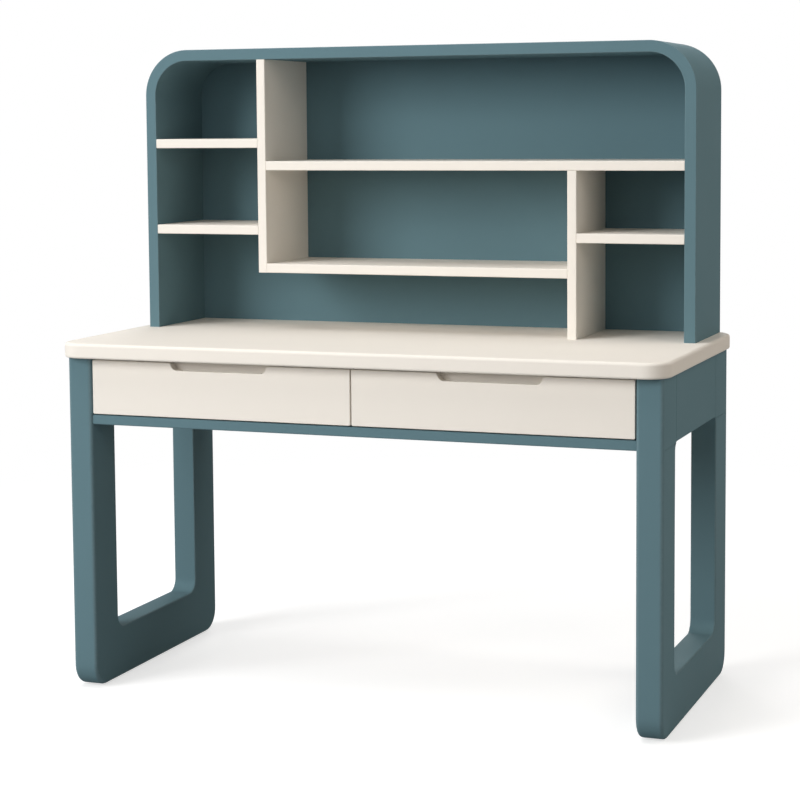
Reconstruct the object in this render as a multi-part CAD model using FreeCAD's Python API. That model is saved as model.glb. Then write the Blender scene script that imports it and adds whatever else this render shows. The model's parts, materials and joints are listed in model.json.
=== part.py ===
import FreeCAD, Part
import math
import os

# Student desk with a hutch: two U-shaped leg frames, a rounded top, two drawers on
# telescopic runners and a shelf unit with a bent shell.
# Millimetres. +X is the sitter's right, +Y is the rear, +Z is up.
# The origin is on the floor under the middle of the desk top.

# ---- desk top ----
TOP_WIDTH = 1300.0
TOP_DEPTH = 620.0
TOP_THICKNESS = 32.0
DESK_HEIGHT = 740.0
TOP_CORNER_RADIUS = 50.0
TOP_UPPER_ROUND = 7.0
TOP_LOWER_ROUND = 5.0

# ---- leg frames ----
SIDE_OVERHANG = 12.0
FRONT_OVERHANG = 26.0
REAR_OVERHANG = 12.0
FRAME_THICKNESS = 54.0
FRONT_POST_DEPTH = 100.0
REAR_POST_DEPTH = 108.0
FLOOR_RAIL_HEIGHT = 109.0
FRAME_OUTER_CORNER = 48.0
FRAME_INNER_CORNER = 28.0
FRAME_EDGE_ROUND = 8.0
OPENING_EDGE_ROUND = 3.5
GLIDE_RADIUS = 12.0
GLIDE_THICKNESS = 2.0
GLIDE_PIN_RADIUS = 1.5
GLIDE_PIN_LENGTH = 14.0
GLIDE_INSET = 62.0

# ---- side aprons, set between the posts ----
APRON_HEIGHT = 136.0
APRON_CORNER = 16.0
SEAM_SHOULDER = 7.0
SEAM_GROOVE_WIDTH = 3.0
SEAM_GROOVE_DEPTH = 1.6

# ---- rear apron, drawer rail and partition ----
REAR_APRON_THICKNESS = 22.0
REAR_APRON_RECESS = 6.0
RAIL_THICKNESS = 20.0
RAIL_DEPTH = 70.0
RAIL_RECESS = 6.0
RAIL_EDGE_ROUND = 2.5
DRAWER_BAY_HEIGHT = 121.0
PARTITION_THICKNESS = 24.0
PARTITION_SETBACK = 4.0

# ---- drawers ----
DRAWER_RECESS = 4.0
FRONT_THICKNESS = 20.0
FRONT_TOP_GAP = 5.0
FRONT_LOWER_GAP = 2.5
FRONT_SIDE_GAP = 2.0
FRONT_CENTRE_GAP = 3.0
FRONT_CORNER_ROUND = 2.5
FRONT_EDGE_ROUND = 1.5
NOTCH_TOP_WIDTH = 219.0
NOTCH_BOTTOM_WIDTH = 206.0
NOTCH_DEPTH = 16.0
NOTCH_LOWER_ROUND = 14.0
NOTCH_UPPER_ROUND = 5.0
FINGER_GROOVE_DEPTH = 10.0
FINGER_GROOVE_DROP = 12.0
BOX_BOARD = 12.0
BOX_LENGTH = 460.0
BOX_LIFT = 10.0
BOX_SIDE_HEIGHT = 90.0
BOX_FRONT_CLEARANCE = 6.0
BOX_EDGE_ROUND = 2.0
BOTTOM_THICKNESS = 6.0
BOTTOM_LIFT = 10.0
GROOVE_DEPTH = 6.0
GROOVE_CLEARANCE = 0.2

# ---- telescopic ball runners ----
RUNNER_WIDTH = 12.7
RUNNER_HEIGHT = 45.0
RUNNER_LENGTH = 450.0
RUNNER_SETBACK = 4.0
RUNNER_WALL = 1.2
RUNNER_LIP = 1.5
OUTER_MEMBER_WIDTH = 10.5
INNER_MEMBER_WIDTH = 7.7
MEMBER_GAP = 0.8
BALL_RADIUS = 1.6
BALL_CLEARANCE = 0.3
BALL_PITCH = 16.0
BALLS_PER_CAGE = 9
CAGE_THICKNESS = 0.8
CAGE_WIDTH = 4.6
CAGE_END_SETBACK = 12.0
RUNNER_SCREW_INSET = 40.0
BOX_SCREW_CLEARANCE = 2.0

# ---- hutch ----
HUTCH_SIDE_INSET = 28.0
HUTCH_REAR_INSET = 12.0
HUTCH_DEPTH = 240.0
HUTCH_HEIGHT = 616.0
SHELL_THICKNESS = 24.0
SHELL_CORNER_RADIUS = 100.0
SHELL_EDGE_ROUND = 1.5
BACK_THICKNESS = 9.0
REBATE_WIDTH = 10.0
REBATE_CLEARANCE = 0.3
SHELF_THICKNESS = 20.0
SHELF_EDGE_ROUND = 2.0
LEFT_DIVIDER_OFFSET = 342.0
RIGHT_DIVIDER_OFFSET = 361.0
UPPER_LEFT_SHELF_LEVEL = 420.0
LOWER_LEFT_SHELF_LEVEL = 230.0
LONG_SHELF_LEVEL = 371.0
MIDDLE_SHELF_LEVEL = 147.0
RIGHT_SHELF_LEVEL = 221.0

# ---- dowels, cam fittings, screws, bolts and brackets ----
DOWEL_RADIUS = 5.0
DOWEL_LENGTH = 40.0
POST_DOWEL_SPACING = 44.0
APRON_DOWEL_SPACING = 55.0
RAIL_DOWEL_SHARES = (0.2, 0.8)
PARTITION_DOWEL_SHARES = (0.15, 0.5, 0.85)
SMALL_DOWEL_RADIUS = 4.0
SMALL_DOWEL_IN_UPRIGHT = 12.0
SMALL_DOWEL_IN_BOARD = 18.0
SHELF_DOWEL_INSET = 50.0
BORE_CLEARANCE = 0.1
BORE_EXTRA_DEPTH = 1.0
CAM_RADIUS = 7.5
CAM_HEIGHT = 12.0
CAM_SETBACK = 24.0
CAM_SLOT_LENGTH = 10.5
CAM_SLOT_WIDTH = 1.6
CAM_SLOT_DEPTH = 2.0
CAM_BOLT_RADIUS = 3.5
CAM_BOLT_GRIP = 12.0
SCREW_RADIUS = 2.0
SCREW_HEAD_RADIUS = 4.0
SCREW_HEAD_HEIGHT = 2.2
SCREW_SLOT_WIDTH = 1.0
RUNNER_SCREW_LENGTH = 10.0
BRACKET_SCREW_LENGTH = 14.0
FRONT_SCREW_LENGTH = 24.0
FRONT_SCREW_SPREAD = 200.0
BOX_SCREW_LENGTH = 32.0
BACK_SCREW_LENGTH = 24.0
SHELL_SIDE_SCREW_SHARES = (0.12, 0.45, 0.78)
SHELL_TOP_SCREW_SHARES = (-0.7, -0.35, 0.0, 0.35, 0.7)
LONG_SHELF_SCREW_SHARES = (0.2, 0.5, 0.8)
SHORT_RUN_SCREW_SHARES = (0.25, 0.75)
BRACKET_LEG = 28.0
BRACKET_WIDTH = 30.0
BRACKET_PLATE = 2.5
SIDE_BRACKET_INSET = 50.0
REAR_BRACKET_OFFSET = 300.0
BOLT_RADIUS = 3.0
BOLT_HEAD_RADIUS = 5.0
BOLT_HEAD_HEIGHT = 6.0
BOLT_SOCKET_RADIUS = 2.5
BOLT_GRIP_IN_SHELL = 12.0
BOLT_BORE_CLEARANCE = 0.4
COUNTERBORE_RADIUS = 8.0
COUNTERBORE_DEPTH = 60.0
BOLT_INSET = 32.0
INSERT_RADIUS = 4.5
INSERT_LENGTH = 16.0

# ---- planes that follow from the sizes ----
TOLERANCE = 1e-6
OVERSHOOT = 1.0
X_AXIS = FreeCAD.Vector(1, 0, 0)
Y_AXIS = FreeCAD.Vector(0, 1, 0)
Z_AXIS = FreeCAD.Vector(0, 0, 1)

TOP_UNDERSIDE = DESK_HEIGHT - TOP_THICKNESS
FRAME_OUTER_X = TOP_WIDTH / 2 - SIDE_OVERHANG
FRAME_INNER_X = FRAME_OUTER_X - FRAME_THICKNESS
FRAME_MIDDLE_X = FRAME_INNER_X + FRAME_THICKNESS / 2
FRAME_FRONT_Y = FRONT_OVERHANG - TOP_DEPTH / 2
FRAME_REAR_Y = TOP_DEPTH / 2 - REAR_OVERHANG
OPENING_FRONT_Y = FRAME_FRONT_Y + FRONT_POST_DEPTH
OPENING_REAR_Y = FRAME_REAR_Y - REAR_POST_DEPTH
OPENING_BOTTOM_Z = GLIDE_THICKNESS + FLOOR_RAIL_HEIGHT
OPENING_TOP_Z = TOP_UNDERSIDE - APRON_HEIGHT
FRONT_SEAM_Y = OPENING_FRONT_Y + SEAM_SHOULDER
REAR_SEAM_Y = OPENING_REAR_Y - SEAM_SHOULDER

RAIL_TOP_Z = TOP_UNDERSIDE - DRAWER_BAY_HEIGHT
RAIL_BOTTOM_Z = RAIL_TOP_Z - RAIL_THICKNESS
RAIL_MIDDLE_Z = RAIL_TOP_Z - RAIL_THICKNESS / 2
RAIL_FRONT_Y = FRAME_FRONT_Y + RAIL_RECESS
REAR_APRON_BACK_Y = FRAME_REAR_Y - REAR_APRON_RECESS
REAR_APRON_FRONT_Y = REAR_APRON_BACK_Y - REAR_APRON_THICKNESS

FRONT_FACE_Y = FRAME_FRONT_Y + DRAWER_RECESS
BOX_FRONT_Y = FRONT_FACE_Y + FRONT_THICKNESS
BOX_SIDE_FRONT_Y = BOX_FRONT_Y + BOX_BOARD
BOX_REAR_Y = BOX_FRONT_Y + BOX_LENGTH
FRONT_BOTTOM_Z = RAIL_TOP_Z + FRONT_LOWER_GAP
FRONT_TOP_Z = TOP_UNDERSIDE - FRONT_TOP_GAP
NOTCH_BOTTOM_Z = FRONT_TOP_Z - NOTCH_DEPTH
BOX_BOTTOM_Z = FRONT_BOTTOM_Z + BOX_LIFT
BOX_TOP_Z = BOX_BOTTOM_Z + BOX_SIDE_HEIGHT
BOX_FRONT_TOP_Z = TOP_UNDERSIDE - BOX_FRONT_CLEARANCE
BOTTOM_PANEL_Z = BOX_BOTTOM_Z + BOTTOM_LIFT
PARTITION_X = PARTITION_THICKNESS / 2
PARTITION_FRONT_Y = BOX_FRONT_Y + PARTITION_SETBACK
BOX_OUTER_X = FRAME_INNER_X - RUNNER_WIDTH
BOX_INNER_X = PARTITION_X + RUNNER_WIDTH
FRONT_OUTER_X = FRAME_INNER_X - FRONT_SIDE_GAP
FRONT_INNER_X = FRONT_CENTRE_GAP / 2
FRONT_MIDDLE_X = (FRONT_OUTER_X + FRONT_INNER_X) / 2

RUNNER_Z = (BOX_BOTTOM_Z + BOX_TOP_Z) / 2
RUNNER_FRONT_Y = BOX_FRONT_Y + RUNNER_SETBACK
RUNNER_REAR_Y = RUNNER_FRONT_Y + RUNNER_LENGTH
ROW_HEIGHT = 2 * (BALL_RADIUS + BALL_CLEARANCE)
OUTER_MEMBER_HALF = RUNNER_HEIGHT / 2
MIDDLE_MEMBER_HALF = OUTER_MEMBER_HALF - RUNNER_WALL - ROW_HEIGHT
INNER_MEMBER_HALF = MIDDLE_MEMBER_HALF - RUNNER_WALL - ROW_HEIGHT
MIDDLE_MEMBER_WEB = RUNNER_WALL + MEMBER_GAP
MIDDLE_MEMBER_OPEN = RUNNER_WIDTH - RUNNER_WALL - BALL_CLEARANCE
CAGE_LENGTH = BALLS_PER_CAGE * BALL_PITCH

HUTCH_OUTER_X = TOP_WIDTH / 2 - HUTCH_SIDE_INSET
HUTCH_INNER_X = HUTCH_OUTER_X - SHELL_THICKNESS
HUTCH_REAR_Y = TOP_DEPTH / 2 - HUTCH_REAR_INSET
HUTCH_FRONT_Y = HUTCH_REAR_Y - HUTCH_DEPTH
BACK_FRONT_Y = HUTCH_REAR_Y - BACK_THICKNESS
HUTCH_TOP_Z = DESK_HEIGHT + HUTCH_HEIGHT
HUTCH_CEILING_Z = HUTCH_TOP_Z - SHELL_THICKNESS
LEFT_DIVIDER_X = -LEFT_DIVIDER_OFFSET - SHELF_THICKNESS / 2
LEFT_DIVIDER_RIGHT_X = LEFT_DIVIDER_X + SHELF_THICKNESS
RIGHT_DIVIDER_X = RIGHT_DIVIDER_OFFSET - SHELF_THICKNESS / 2
RIGHT_DIVIDER_RIGHT_X = RIGHT_DIVIDER_X + SHELF_THICKNESS
LONG_SHELF_Z = DESK_HEIGHT + LONG_SHELF_LEVEL - SHELF_THICKNESS
MIDDLE_SHELF_Z = DESK_HEIGHT + MIDDLE_SHELF_LEVEL - SHELF_THICKNESS
RIGHT_SHELF_Z = DESK_HEIGHT + RIGHT_SHELF_LEVEL - SHELF_THICKNESS
UPPER_LEFT_SHELF_Z = DESK_HEIGHT + UPPER_LEFT_SHELF_LEVEL - SHELF_THICKNESS
LOWER_LEFT_SHELF_Z = DESK_HEIGHT + LOWER_LEFT_SHELF_LEVEL - SHELF_THICKNESS
SHELL_LEG_MIDDLE_X = HUTCH_OUTER_X - SHELL_THICKNESS / 2


# ---------------------------------------------------------------- shape helpers

def point(x, y, z):
    return FreeCAD.Vector(x, y, z)


def block(x0, x1, y0, y1, z0, z1):
    """Box between two corners."""
    return Part.makeBox(x1 - x0, y1 - y0, z1 - z0, point(x0, y0, z0))


def prism(points, travel):
    """Solid swept straight along travel from the flat outline through points."""
    outline = Part.makePolygon(points + [points[0]])
    return Part.Face(outline).extrude(travel)


def edges_where(shape, test):
    """Edges whose two end points both pass test."""
    return [edge for edge in shape.Edges
            if all(test(vertex.Point) for vertex in edge.Vertexes)]


def near(value, plane):
    return abs(value - plane) < TOLERANCE


def unit(vector):
    return vector / vector.Length


def rounded_face(corners, radii):
    """Flat face through corners, each rounded to its radius by an arc."""
    spans = []
    for index, (corner, radius) in enumerate(zip(corners, radii)):
        if radius == 0:
            spans.append((corner, corner, corner))
            continue
        back = unit(corners[index - 1] - corner)
        ahead = unit(corners[(index + 1) % len(corners)] - corner)
        half_angle = back.getAngle(ahead) / 2
        reach = radius / math.tan(half_angle)
        centre = corner + unit(back + ahead) * (radius / math.sin(half_angle))
        crown = centre + unit(corner - centre) * radius
        spans.append((corner + back * reach, crown, corner + ahead * reach))
    edges = []
    for index, (start, crown, end) in enumerate(spans):
        if not near((end - start).Length, 0):
            edges.append(Part.Arc(start, crown, end).toShape())
        edges.append(Part.LineSegment(end, spans[(index + 1) % len(spans)][0]).toShape())
    return Part.Face(Part.Wire(edges))


def rounded(shape, radius, test):
    """Shape with the edges that pass test rounded to radius."""
    return shape.makeFillet(radius, edges_where(shape, test))


def boxes_meet(first, second):
    return first.BoundBox.intersect(second.BoundBox)


def bored(board, cutters):
    """Board less the cutters that reach it."""
    reaching = [cutter for cutter in cutters if boxes_meet(board, cutter)]
    return board.cut(reaching) if reaching else board


def mirrored(shape):
    """Copy on the other side of the desk's middle plane."""
    return shape.mirror(point(0, 0, 0), X_AXIS)


def both_sides(solids):
    return solids + [mirrored(solid) for solid in solids]


def group(solids):
    return Part.makeCompound(solids)


def pin(start, direction, radius, length):
    return Part.makeCylinder(radius, length, start, direction)


def slotted_screw(seat, direction, length):
    """Pan-head screw: the head stands on seat, the shank runs along direction."""
    head = pin(seat - direction * SCREW_HEAD_HEIGHT, direction, SCREW_HEAD_RADIUS, SCREW_HEAD_HEIGHT)
    side = X_AXIS if abs(direction.x) < 0.5 else Y_AXIS
    other = direction.cross(side)
    corner = seat - direction * SCREW_HEAD_HEIGHT - side * SCREW_HEAD_RADIUS - other * (SCREW_SLOT_WIDTH / 2)
    slot = prism([corner,
                  corner + side * (2 * SCREW_HEAD_RADIUS),
                  corner + side * (2 * SCREW_HEAD_RADIUS) + other * SCREW_SLOT_WIDTH,
                  corner + other * SCREW_SLOT_WIDTH], direction * (SCREW_HEAD_HEIGHT / 2))
    return head.cut(slot).fuse(pin(seat, direction, SCREW_RADIUS, length)).removeSplitter()


def flush_screw(seat, direction, head_height, length):
    """Flat screw whose head is let in flush at seat."""
    head = pin(seat, direction, SCREW_HEAD_RADIUS, head_height)
    return head.fuse(pin(seat, direction, SCREW_RADIUS, length)).removeSplitter()


def flush_screw_bore(seat, direction, head_height, length):
    head = pin(seat, direction, SCREW_HEAD_RADIUS + BORE_CLEARANCE, head_height)
    return head.fuse(screw_bore(seat, direction, length))


def screw_bore(seat, direction, length):
    return pin(seat, direction, SCREW_RADIUS + BORE_CLEARANCE, length + BORE_EXTRA_DEPTH)


# ---------------------------------------------------------------- dowels
# A dowel place is the point where it crosses a joint face and its direction.

def dowel(place, radius, before, after):
    start, direction = place
    return pin(start - direction * before, direction, radius, before + after)


def dowel_bore(place, radius, before, after):
    return dowel(place, radius + BORE_CLEARANCE, before + BORE_EXTRA_DEPTH, after + BORE_EXTRA_DEPTH)


def post_dowel_places():
    """Two dowels in each post top, at the right."""
    half = POST_DOWEL_SPACING / 2
    front = (FRAME_FRONT_Y + OPENING_FRONT_Y) / 2
    rear = (FRAME_REAR_Y + OPENING_REAR_Y) / 2
    return [(point(FRAME_MIDDLE_X, middle + shift, TOP_UNDERSIDE), Z_AXIS)
            for middle in (front, rear) for shift in (-half, half)]


def apron_dowel_places():
    """Two dowels in each seam of the right side apron."""
    middle = (TOP_UNDERSIDE + OPENING_TOP_Z) / 2
    half = APRON_DOWEL_SPACING / 2
    return [(point(FRAME_MIDDLE_X, seam, middle + shift), Y_AXIS)
            for seam in (FRONT_SEAM_Y, REAR_SEAM_Y) for shift in (-half, half)]


def rail_dowel_places():
    """Two dowels in the right end of the drawer rail."""
    return [(point(FRAME_INNER_X, RAIL_FRONT_Y + RAIL_DEPTH * share, RAIL_MIDDLE_Z), -X_AXIS)
            for share in RAIL_DOWEL_SHARES]


def rear_apron_dowel_places():
    """Two dowels in the right end of the rear apron."""
    middle = (TOP_UNDERSIDE + OPENING_TOP_Z) / 2
    half = APRON_DOWEL_SPACING / 2
    y = (REAR_APRON_FRONT_Y + REAR_APRON_BACK_Y) / 2
    return [(point(FRAME_INNER_X, y, middle + shift), -X_AXIS) for shift in (-half, half)]


def partition_dowel_places():
    """Dowels from the partition into the desk top, the drawer rail and the rear apron."""
    middle = (TOP_UNDERSIDE + RAIL_TOP_Z) / 2
    half = APRON_DOWEL_SPACING / 2
    lengthwise = REAR_APRON_FRONT_Y - PARTITION_FRONT_Y
    up = [(point(0, PARTITION_FRONT_Y + lengthwise * share, TOP_UNDERSIDE), -Z_AXIS)
          for share in PARTITION_DOWEL_SHARES]
    down = [(point(0, (PARTITION_FRONT_Y + RAIL_FRONT_Y + RAIL_DEPTH) / 2, RAIL_TOP_Z), Z_AXIS)]
    back = [(point(0, REAR_APRON_FRONT_Y, middle + shift), -Y_AXIS) for shift in (-half, half)]
    return up + down + back


def case_dowel_places():
    one_side = rail_dowel_places() + rear_apron_dowel_places()
    other_side = [(point(-start.x, start.y, start.z), point(-direction.x, 0, 0))
                  for start, direction in one_side]
    return one_side + other_side + partition_dowel_places()


def hutch_dowel_places():
    """Two dowels at each end of each shelf and divider; each runs into its board."""
    ends = [
        (-HUTCH_INNER_X, UPPER_LEFT_SHELF_Z, X_AXIS), (LEFT_DIVIDER_X, UPPER_LEFT_SHELF_Z, -X_AXIS),
        (-HUTCH_INNER_X, LOWER_LEFT_SHELF_Z, X_AXIS), (LEFT_DIVIDER_X, LOWER_LEFT_SHELF_Z, -X_AXIS),
        (LEFT_DIVIDER_RIGHT_X, LONG_SHELF_Z, X_AXIS), (HUTCH_INNER_X, LONG_SHELF_Z, -X_AXIS),
        (LEFT_DIVIDER_RIGHT_X, MIDDLE_SHELF_Z, X_AXIS), (RIGHT_DIVIDER_X, MIDDLE_SHELF_Z, -X_AXIS),
        (RIGHT_DIVIDER_RIGHT_X, RIGHT_SHELF_Z, X_AXIS), (HUTCH_INNER_X, RIGHT_SHELF_Z, -X_AXIS)]
    rows = (HUTCH_FRONT_Y + SHELF_DOWEL_INSET, BACK_FRONT_Y - SHELF_DOWEL_INSET)
    half = SHELF_THICKNESS / 2
    places = [(point(x, y, z + half), direction) for x, z, direction in ends for y in rows]
    uprights = [(LEFT_DIVIDER_X, HUTCH_CEILING_Z, -Z_AXIS),
                (RIGHT_DIVIDER_X, LONG_SHELF_Z, -Z_AXIS),
                (RIGHT_DIVIDER_X, DESK_HEIGHT, Z_AXIS)]
    places += [(point(x + half, y, z), direction) for x, z, direction in uprights for y in rows]
    return places


def even_dowels(places, radius):
    """Dowels that stand half in each piece."""
    half = DOWEL_LENGTH / 2
    return [dowel(place, radius, half, half) for place in places]


def even_dowel_bores(places, radius):
    half = DOWEL_LENGTH / 2
    return [dowel_bore(place, radius, half, half) for place in places]


def case_dowel_bores():
    return even_dowel_bores(case_dowel_places(), SMALL_DOWEL_RADIUS)


def hutch_dowels():
    """Short dowels, a little deeper in the shelf or divider than in what carries it."""
    return group([dowel(place, SMALL_DOWEL_RADIUS, SMALL_DOWEL_IN_UPRIGHT, SMALL_DOWEL_IN_BOARD)
                  for place in hutch_dowel_places()])


def hutch_dowel_bores():
    return [dowel_bore(place, SMALL_DOWEL_RADIUS, SMALL_DOWEL_IN_UPRIGHT, SMALL_DOWEL_IN_BOARD)
            for place in hutch_dowel_places()]


# ---------------------------------------------------------------- cam fittings
# A cam place is the centre of the cam's mouth and the way its bore goes into the board.
# The bolt runs along X from the board's end into the leg frame, at the given height.

def cam_places():
    """Right-hand cams of the drawer rail and of the rear apron, with their bolt axis points."""
    x = FRAME_INNER_X - CAM_SETBACK
    rail_y = RAIL_FRONT_Y + RAIL_DEPTH / 2
    rear_z = (TOP_UNDERSIDE + OPENING_TOP_Z) / 2
    rear_y = (REAR_APRON_FRONT_Y + REAR_APRON_BACK_Y) / 2
    return [(point(x, rail_y, RAIL_BOTTOM_Z), Z_AXIS, point(FRAME_INNER_X, rail_y, RAIL_MIDDLE_Z)),
            (point(x, REAR_APRON_FRONT_Y, rear_z), Y_AXIS, point(FRAME_INNER_X, rear_y, rear_z))]


def cam_lock(place):
    """Round cam with a cross slot in its mouth."""
    mouth, inward, _ = place
    barrel = pin(mouth, inward, CAM_RADIUS, CAM_HEIGHT)
    across = inward.cross(X_AXIS)
    for along, side in ((X_AXIS, across), (across, X_AXIS)):
        corner = mouth - along * (CAM_SLOT_LENGTH / 2) - side * (CAM_SLOT_WIDTH / 2)
        end = corner + along * CAM_SLOT_LENGTH
        slot = [corner, end, end + side * CAM_SLOT_WIDTH, corner + side * CAM_SLOT_WIDTH]
        barrel = barrel.cut(prism(slot, inward * CAM_SLOT_DEPTH))
    return barrel


def cam_bore(place):
    mouth, inward, _ = place
    return pin(mouth, inward, CAM_RADIUS + BORE_CLEARANCE, CAM_HEIGHT + BORE_EXTRA_DEPTH / 2)


def cam_bolt(place):
    """Dowel bolt from the cam's side into the leg frame."""
    joint = place[2]
    reach = CAM_SETBACK - CAM_RADIUS - 2 * BORE_CLEARANCE
    return pin(joint - X_AXIS * reach, X_AXIS, CAM_BOLT_RADIUS, reach + CAM_BOLT_GRIP)


def cam_bolt_bore(place):
    joint = place[2]
    reach = CAM_SETBACK - CAM_RADIUS
    radius = CAM_BOLT_RADIUS + BORE_CLEARANCE
    return pin(joint - X_AXIS * reach, X_AXIS, radius, reach + CAM_BOLT_GRIP + BORE_EXTRA_DEPTH)


# ---------------------------------------------------------------- angle brackets
# A bracket place is the top inner corner that it fills, the way out of the upright face,
# and the way along the bracket.

def bracket_places():
    """Two brackets on each side apron and two on the rear apron."""
    rows = (FRONT_SEAM_Y + SIDE_BRACKET_INSET, REAR_SEAM_Y - SIDE_BRACKET_INSET)
    sides = [(point(sign * FRAME_INNER_X, y, TOP_UNDERSIDE), point(-sign, 0, 0), Y_AXIS)
             for sign in (-1, 1) for y in rows]
    rear = [(point(sign * REAR_BRACKET_OFFSET, REAR_APRON_FRONT_Y, TOP_UNDERSIDE), -Y_AXIS, X_AXIS)
            for sign in (-1, 1)]
    return sides + rear


def bracket_screw_seats():
    """Seat and direction of the two screws of each bracket."""
    middle = (BRACKET_LEG + BRACKET_PLATE) / 2
    seats = []
    for corner, outward, _ in bracket_places():
        seats.append((corner + outward * BRACKET_PLATE - Z_AXIS * middle, -outward))
        seats.append((corner + outward * middle - Z_AXIS * BRACKET_PLATE, Z_AXIS))
    return seats


def bracket_bores():
    return [screw_bore(seat, direction, BRACKET_SCREW_LENGTH) for seat, direction in bracket_screw_seats()]


def top_brackets():
    """Bent steel angles, bored for their screws."""
    solids = []
    for corner, outward, along in bracket_places():
        start = corner - along * (BRACKET_WIDTH / 2)
        outline = [start,
                   start + outward * BRACKET_LEG,
                   start + outward * BRACKET_LEG - Z_AXIS * BRACKET_PLATE,
                   start + outward * BRACKET_PLATE - Z_AXIS * BRACKET_PLATE,
                   start + outward * BRACKET_PLATE - Z_AXIS * BRACKET_LEG,
                   start - Z_AXIS * BRACKET_LEG]
        solids.append(bored(prism(outline, along * BRACKET_WIDTH), bracket_bores()))
    return group(solids)


def bracket_screws():
    return group([slotted_screw(seat, direction, BRACKET_SCREW_LENGTH)
                  for seat, direction in bracket_screw_seats()])


# ---------------------------------------------------------------- hutch bolts
# Long bolts come up through the side aprons and the desk top into the shell's feet.

def bolt_lines():
    """Plan position of the right-hand bolts, between the hutch front and the rear seam dowels."""
    front = HUTCH_FRONT_Y + BOLT_INSET
    rear = REAR_SEAM_Y - DOWEL_LENGTH / 2 - 2 * COUNTERBORE_RADIUS
    return [(SHELL_LEG_MIDDLE_X, front), (SHELL_LEG_MIDDLE_X, rear)]


def bolt_seat_height():
    return OPENING_TOP_Z + COUNTERBORE_DEPTH


def hutch_bolts():
    """Socket-head bolts."""
    seat = bolt_seat_height()
    length = DESK_HEIGHT + BOLT_GRIP_IN_SHELL - seat
    solids = []
    for x, y in bolt_lines():
        shank = pin(point(x, y, seat), Z_AXIS, BOLT_RADIUS, length)
        head = pin(point(x, y, seat - BOLT_HEAD_HEIGHT), Z_AXIS, BOLT_HEAD_RADIUS, BOLT_HEAD_HEIGHT)
        socket = pin(point(x, y, seat - BOLT_HEAD_HEIGHT), Z_AXIS, BOLT_SOCKET_RADIUS, BOLT_HEAD_HEIGHT / 2)
        solids.append(head.fuse(shank).removeSplitter().cut(socket))
    return group(both_sides(solids))


def bolt_bores():
    """Through bore and counterbore of each right-hand bolt."""
    cutters = []
    for x, y in bolt_lines():
        radius = BOLT_RADIUS + BOLT_BORE_CLEARANCE
        cutters.append(pin(point(x, y, OPENING_TOP_Z), Z_AXIS, radius, DESK_HEIGHT - OPENING_TOP_Z))
        cutters.append(pin(point(x, y, OPENING_TOP_Z), Z_AXIS, COUNTERBORE_RADIUS, COUNTERBORE_DEPTH))
    return cutters


def hutch_inserts():
    """Threaded sleeves in the shell's feet."""
    solids = []
    for x, y in bolt_lines():
        sleeve = pin(point(x, y, DESK_HEIGHT), Z_AXIS, INSERT_RADIUS, INSERT_LENGTH)
        hole = pin(point(x, y, DESK_HEIGHT), Z_AXIS, BOLT_RADIUS + BORE_CLEARANCE, INSERT_LENGTH)
        solids.append(sleeve.cut(hole))
    return group(both_sides(solids))


def insert_bores():
    return [pin(point(x, y, DESK_HEIGHT), Z_AXIS, INSERT_RADIUS + BORE_CLEARANCE,
                INSERT_LENGTH + BORE_EXTRA_DEPTH) for x, y in bolt_lines()]


# ---------------------------------------------------------------- desk top, legs, aprons

def tabletop():
    """Slab with rounded corners, a large round on its upper edge and a small one below."""
    half_x = TOP_WIDTH / 2
    half_y = TOP_DEPTH / 2
    slab = block(-half_x, half_x, -half_y, half_y, TOP_UNDERSIDE, DESK_HEIGHT)
    corners = [edge for edge in slab.Edges if near(edge.Length, TOP_THICKNESS)]
    slab = slab.makeFillet(TOP_CORNER_RADIUS, corners)
    slab = rounded(slab, TOP_UPPER_ROUND, lambda p: near(p.z, DESK_HEIGHT))
    slab = rounded(slab, TOP_LOWER_ROUND, lambda p: near(p.z, TOP_UNDERSIDE))
    cutters = both_sides(even_dowel_bores(post_dowel_places(), DOWEL_RADIUS) + bolt_bores())
    return bored(slab, cutters + case_dowel_bores() + hutch_dowel_bores() + bracket_bores())


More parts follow.
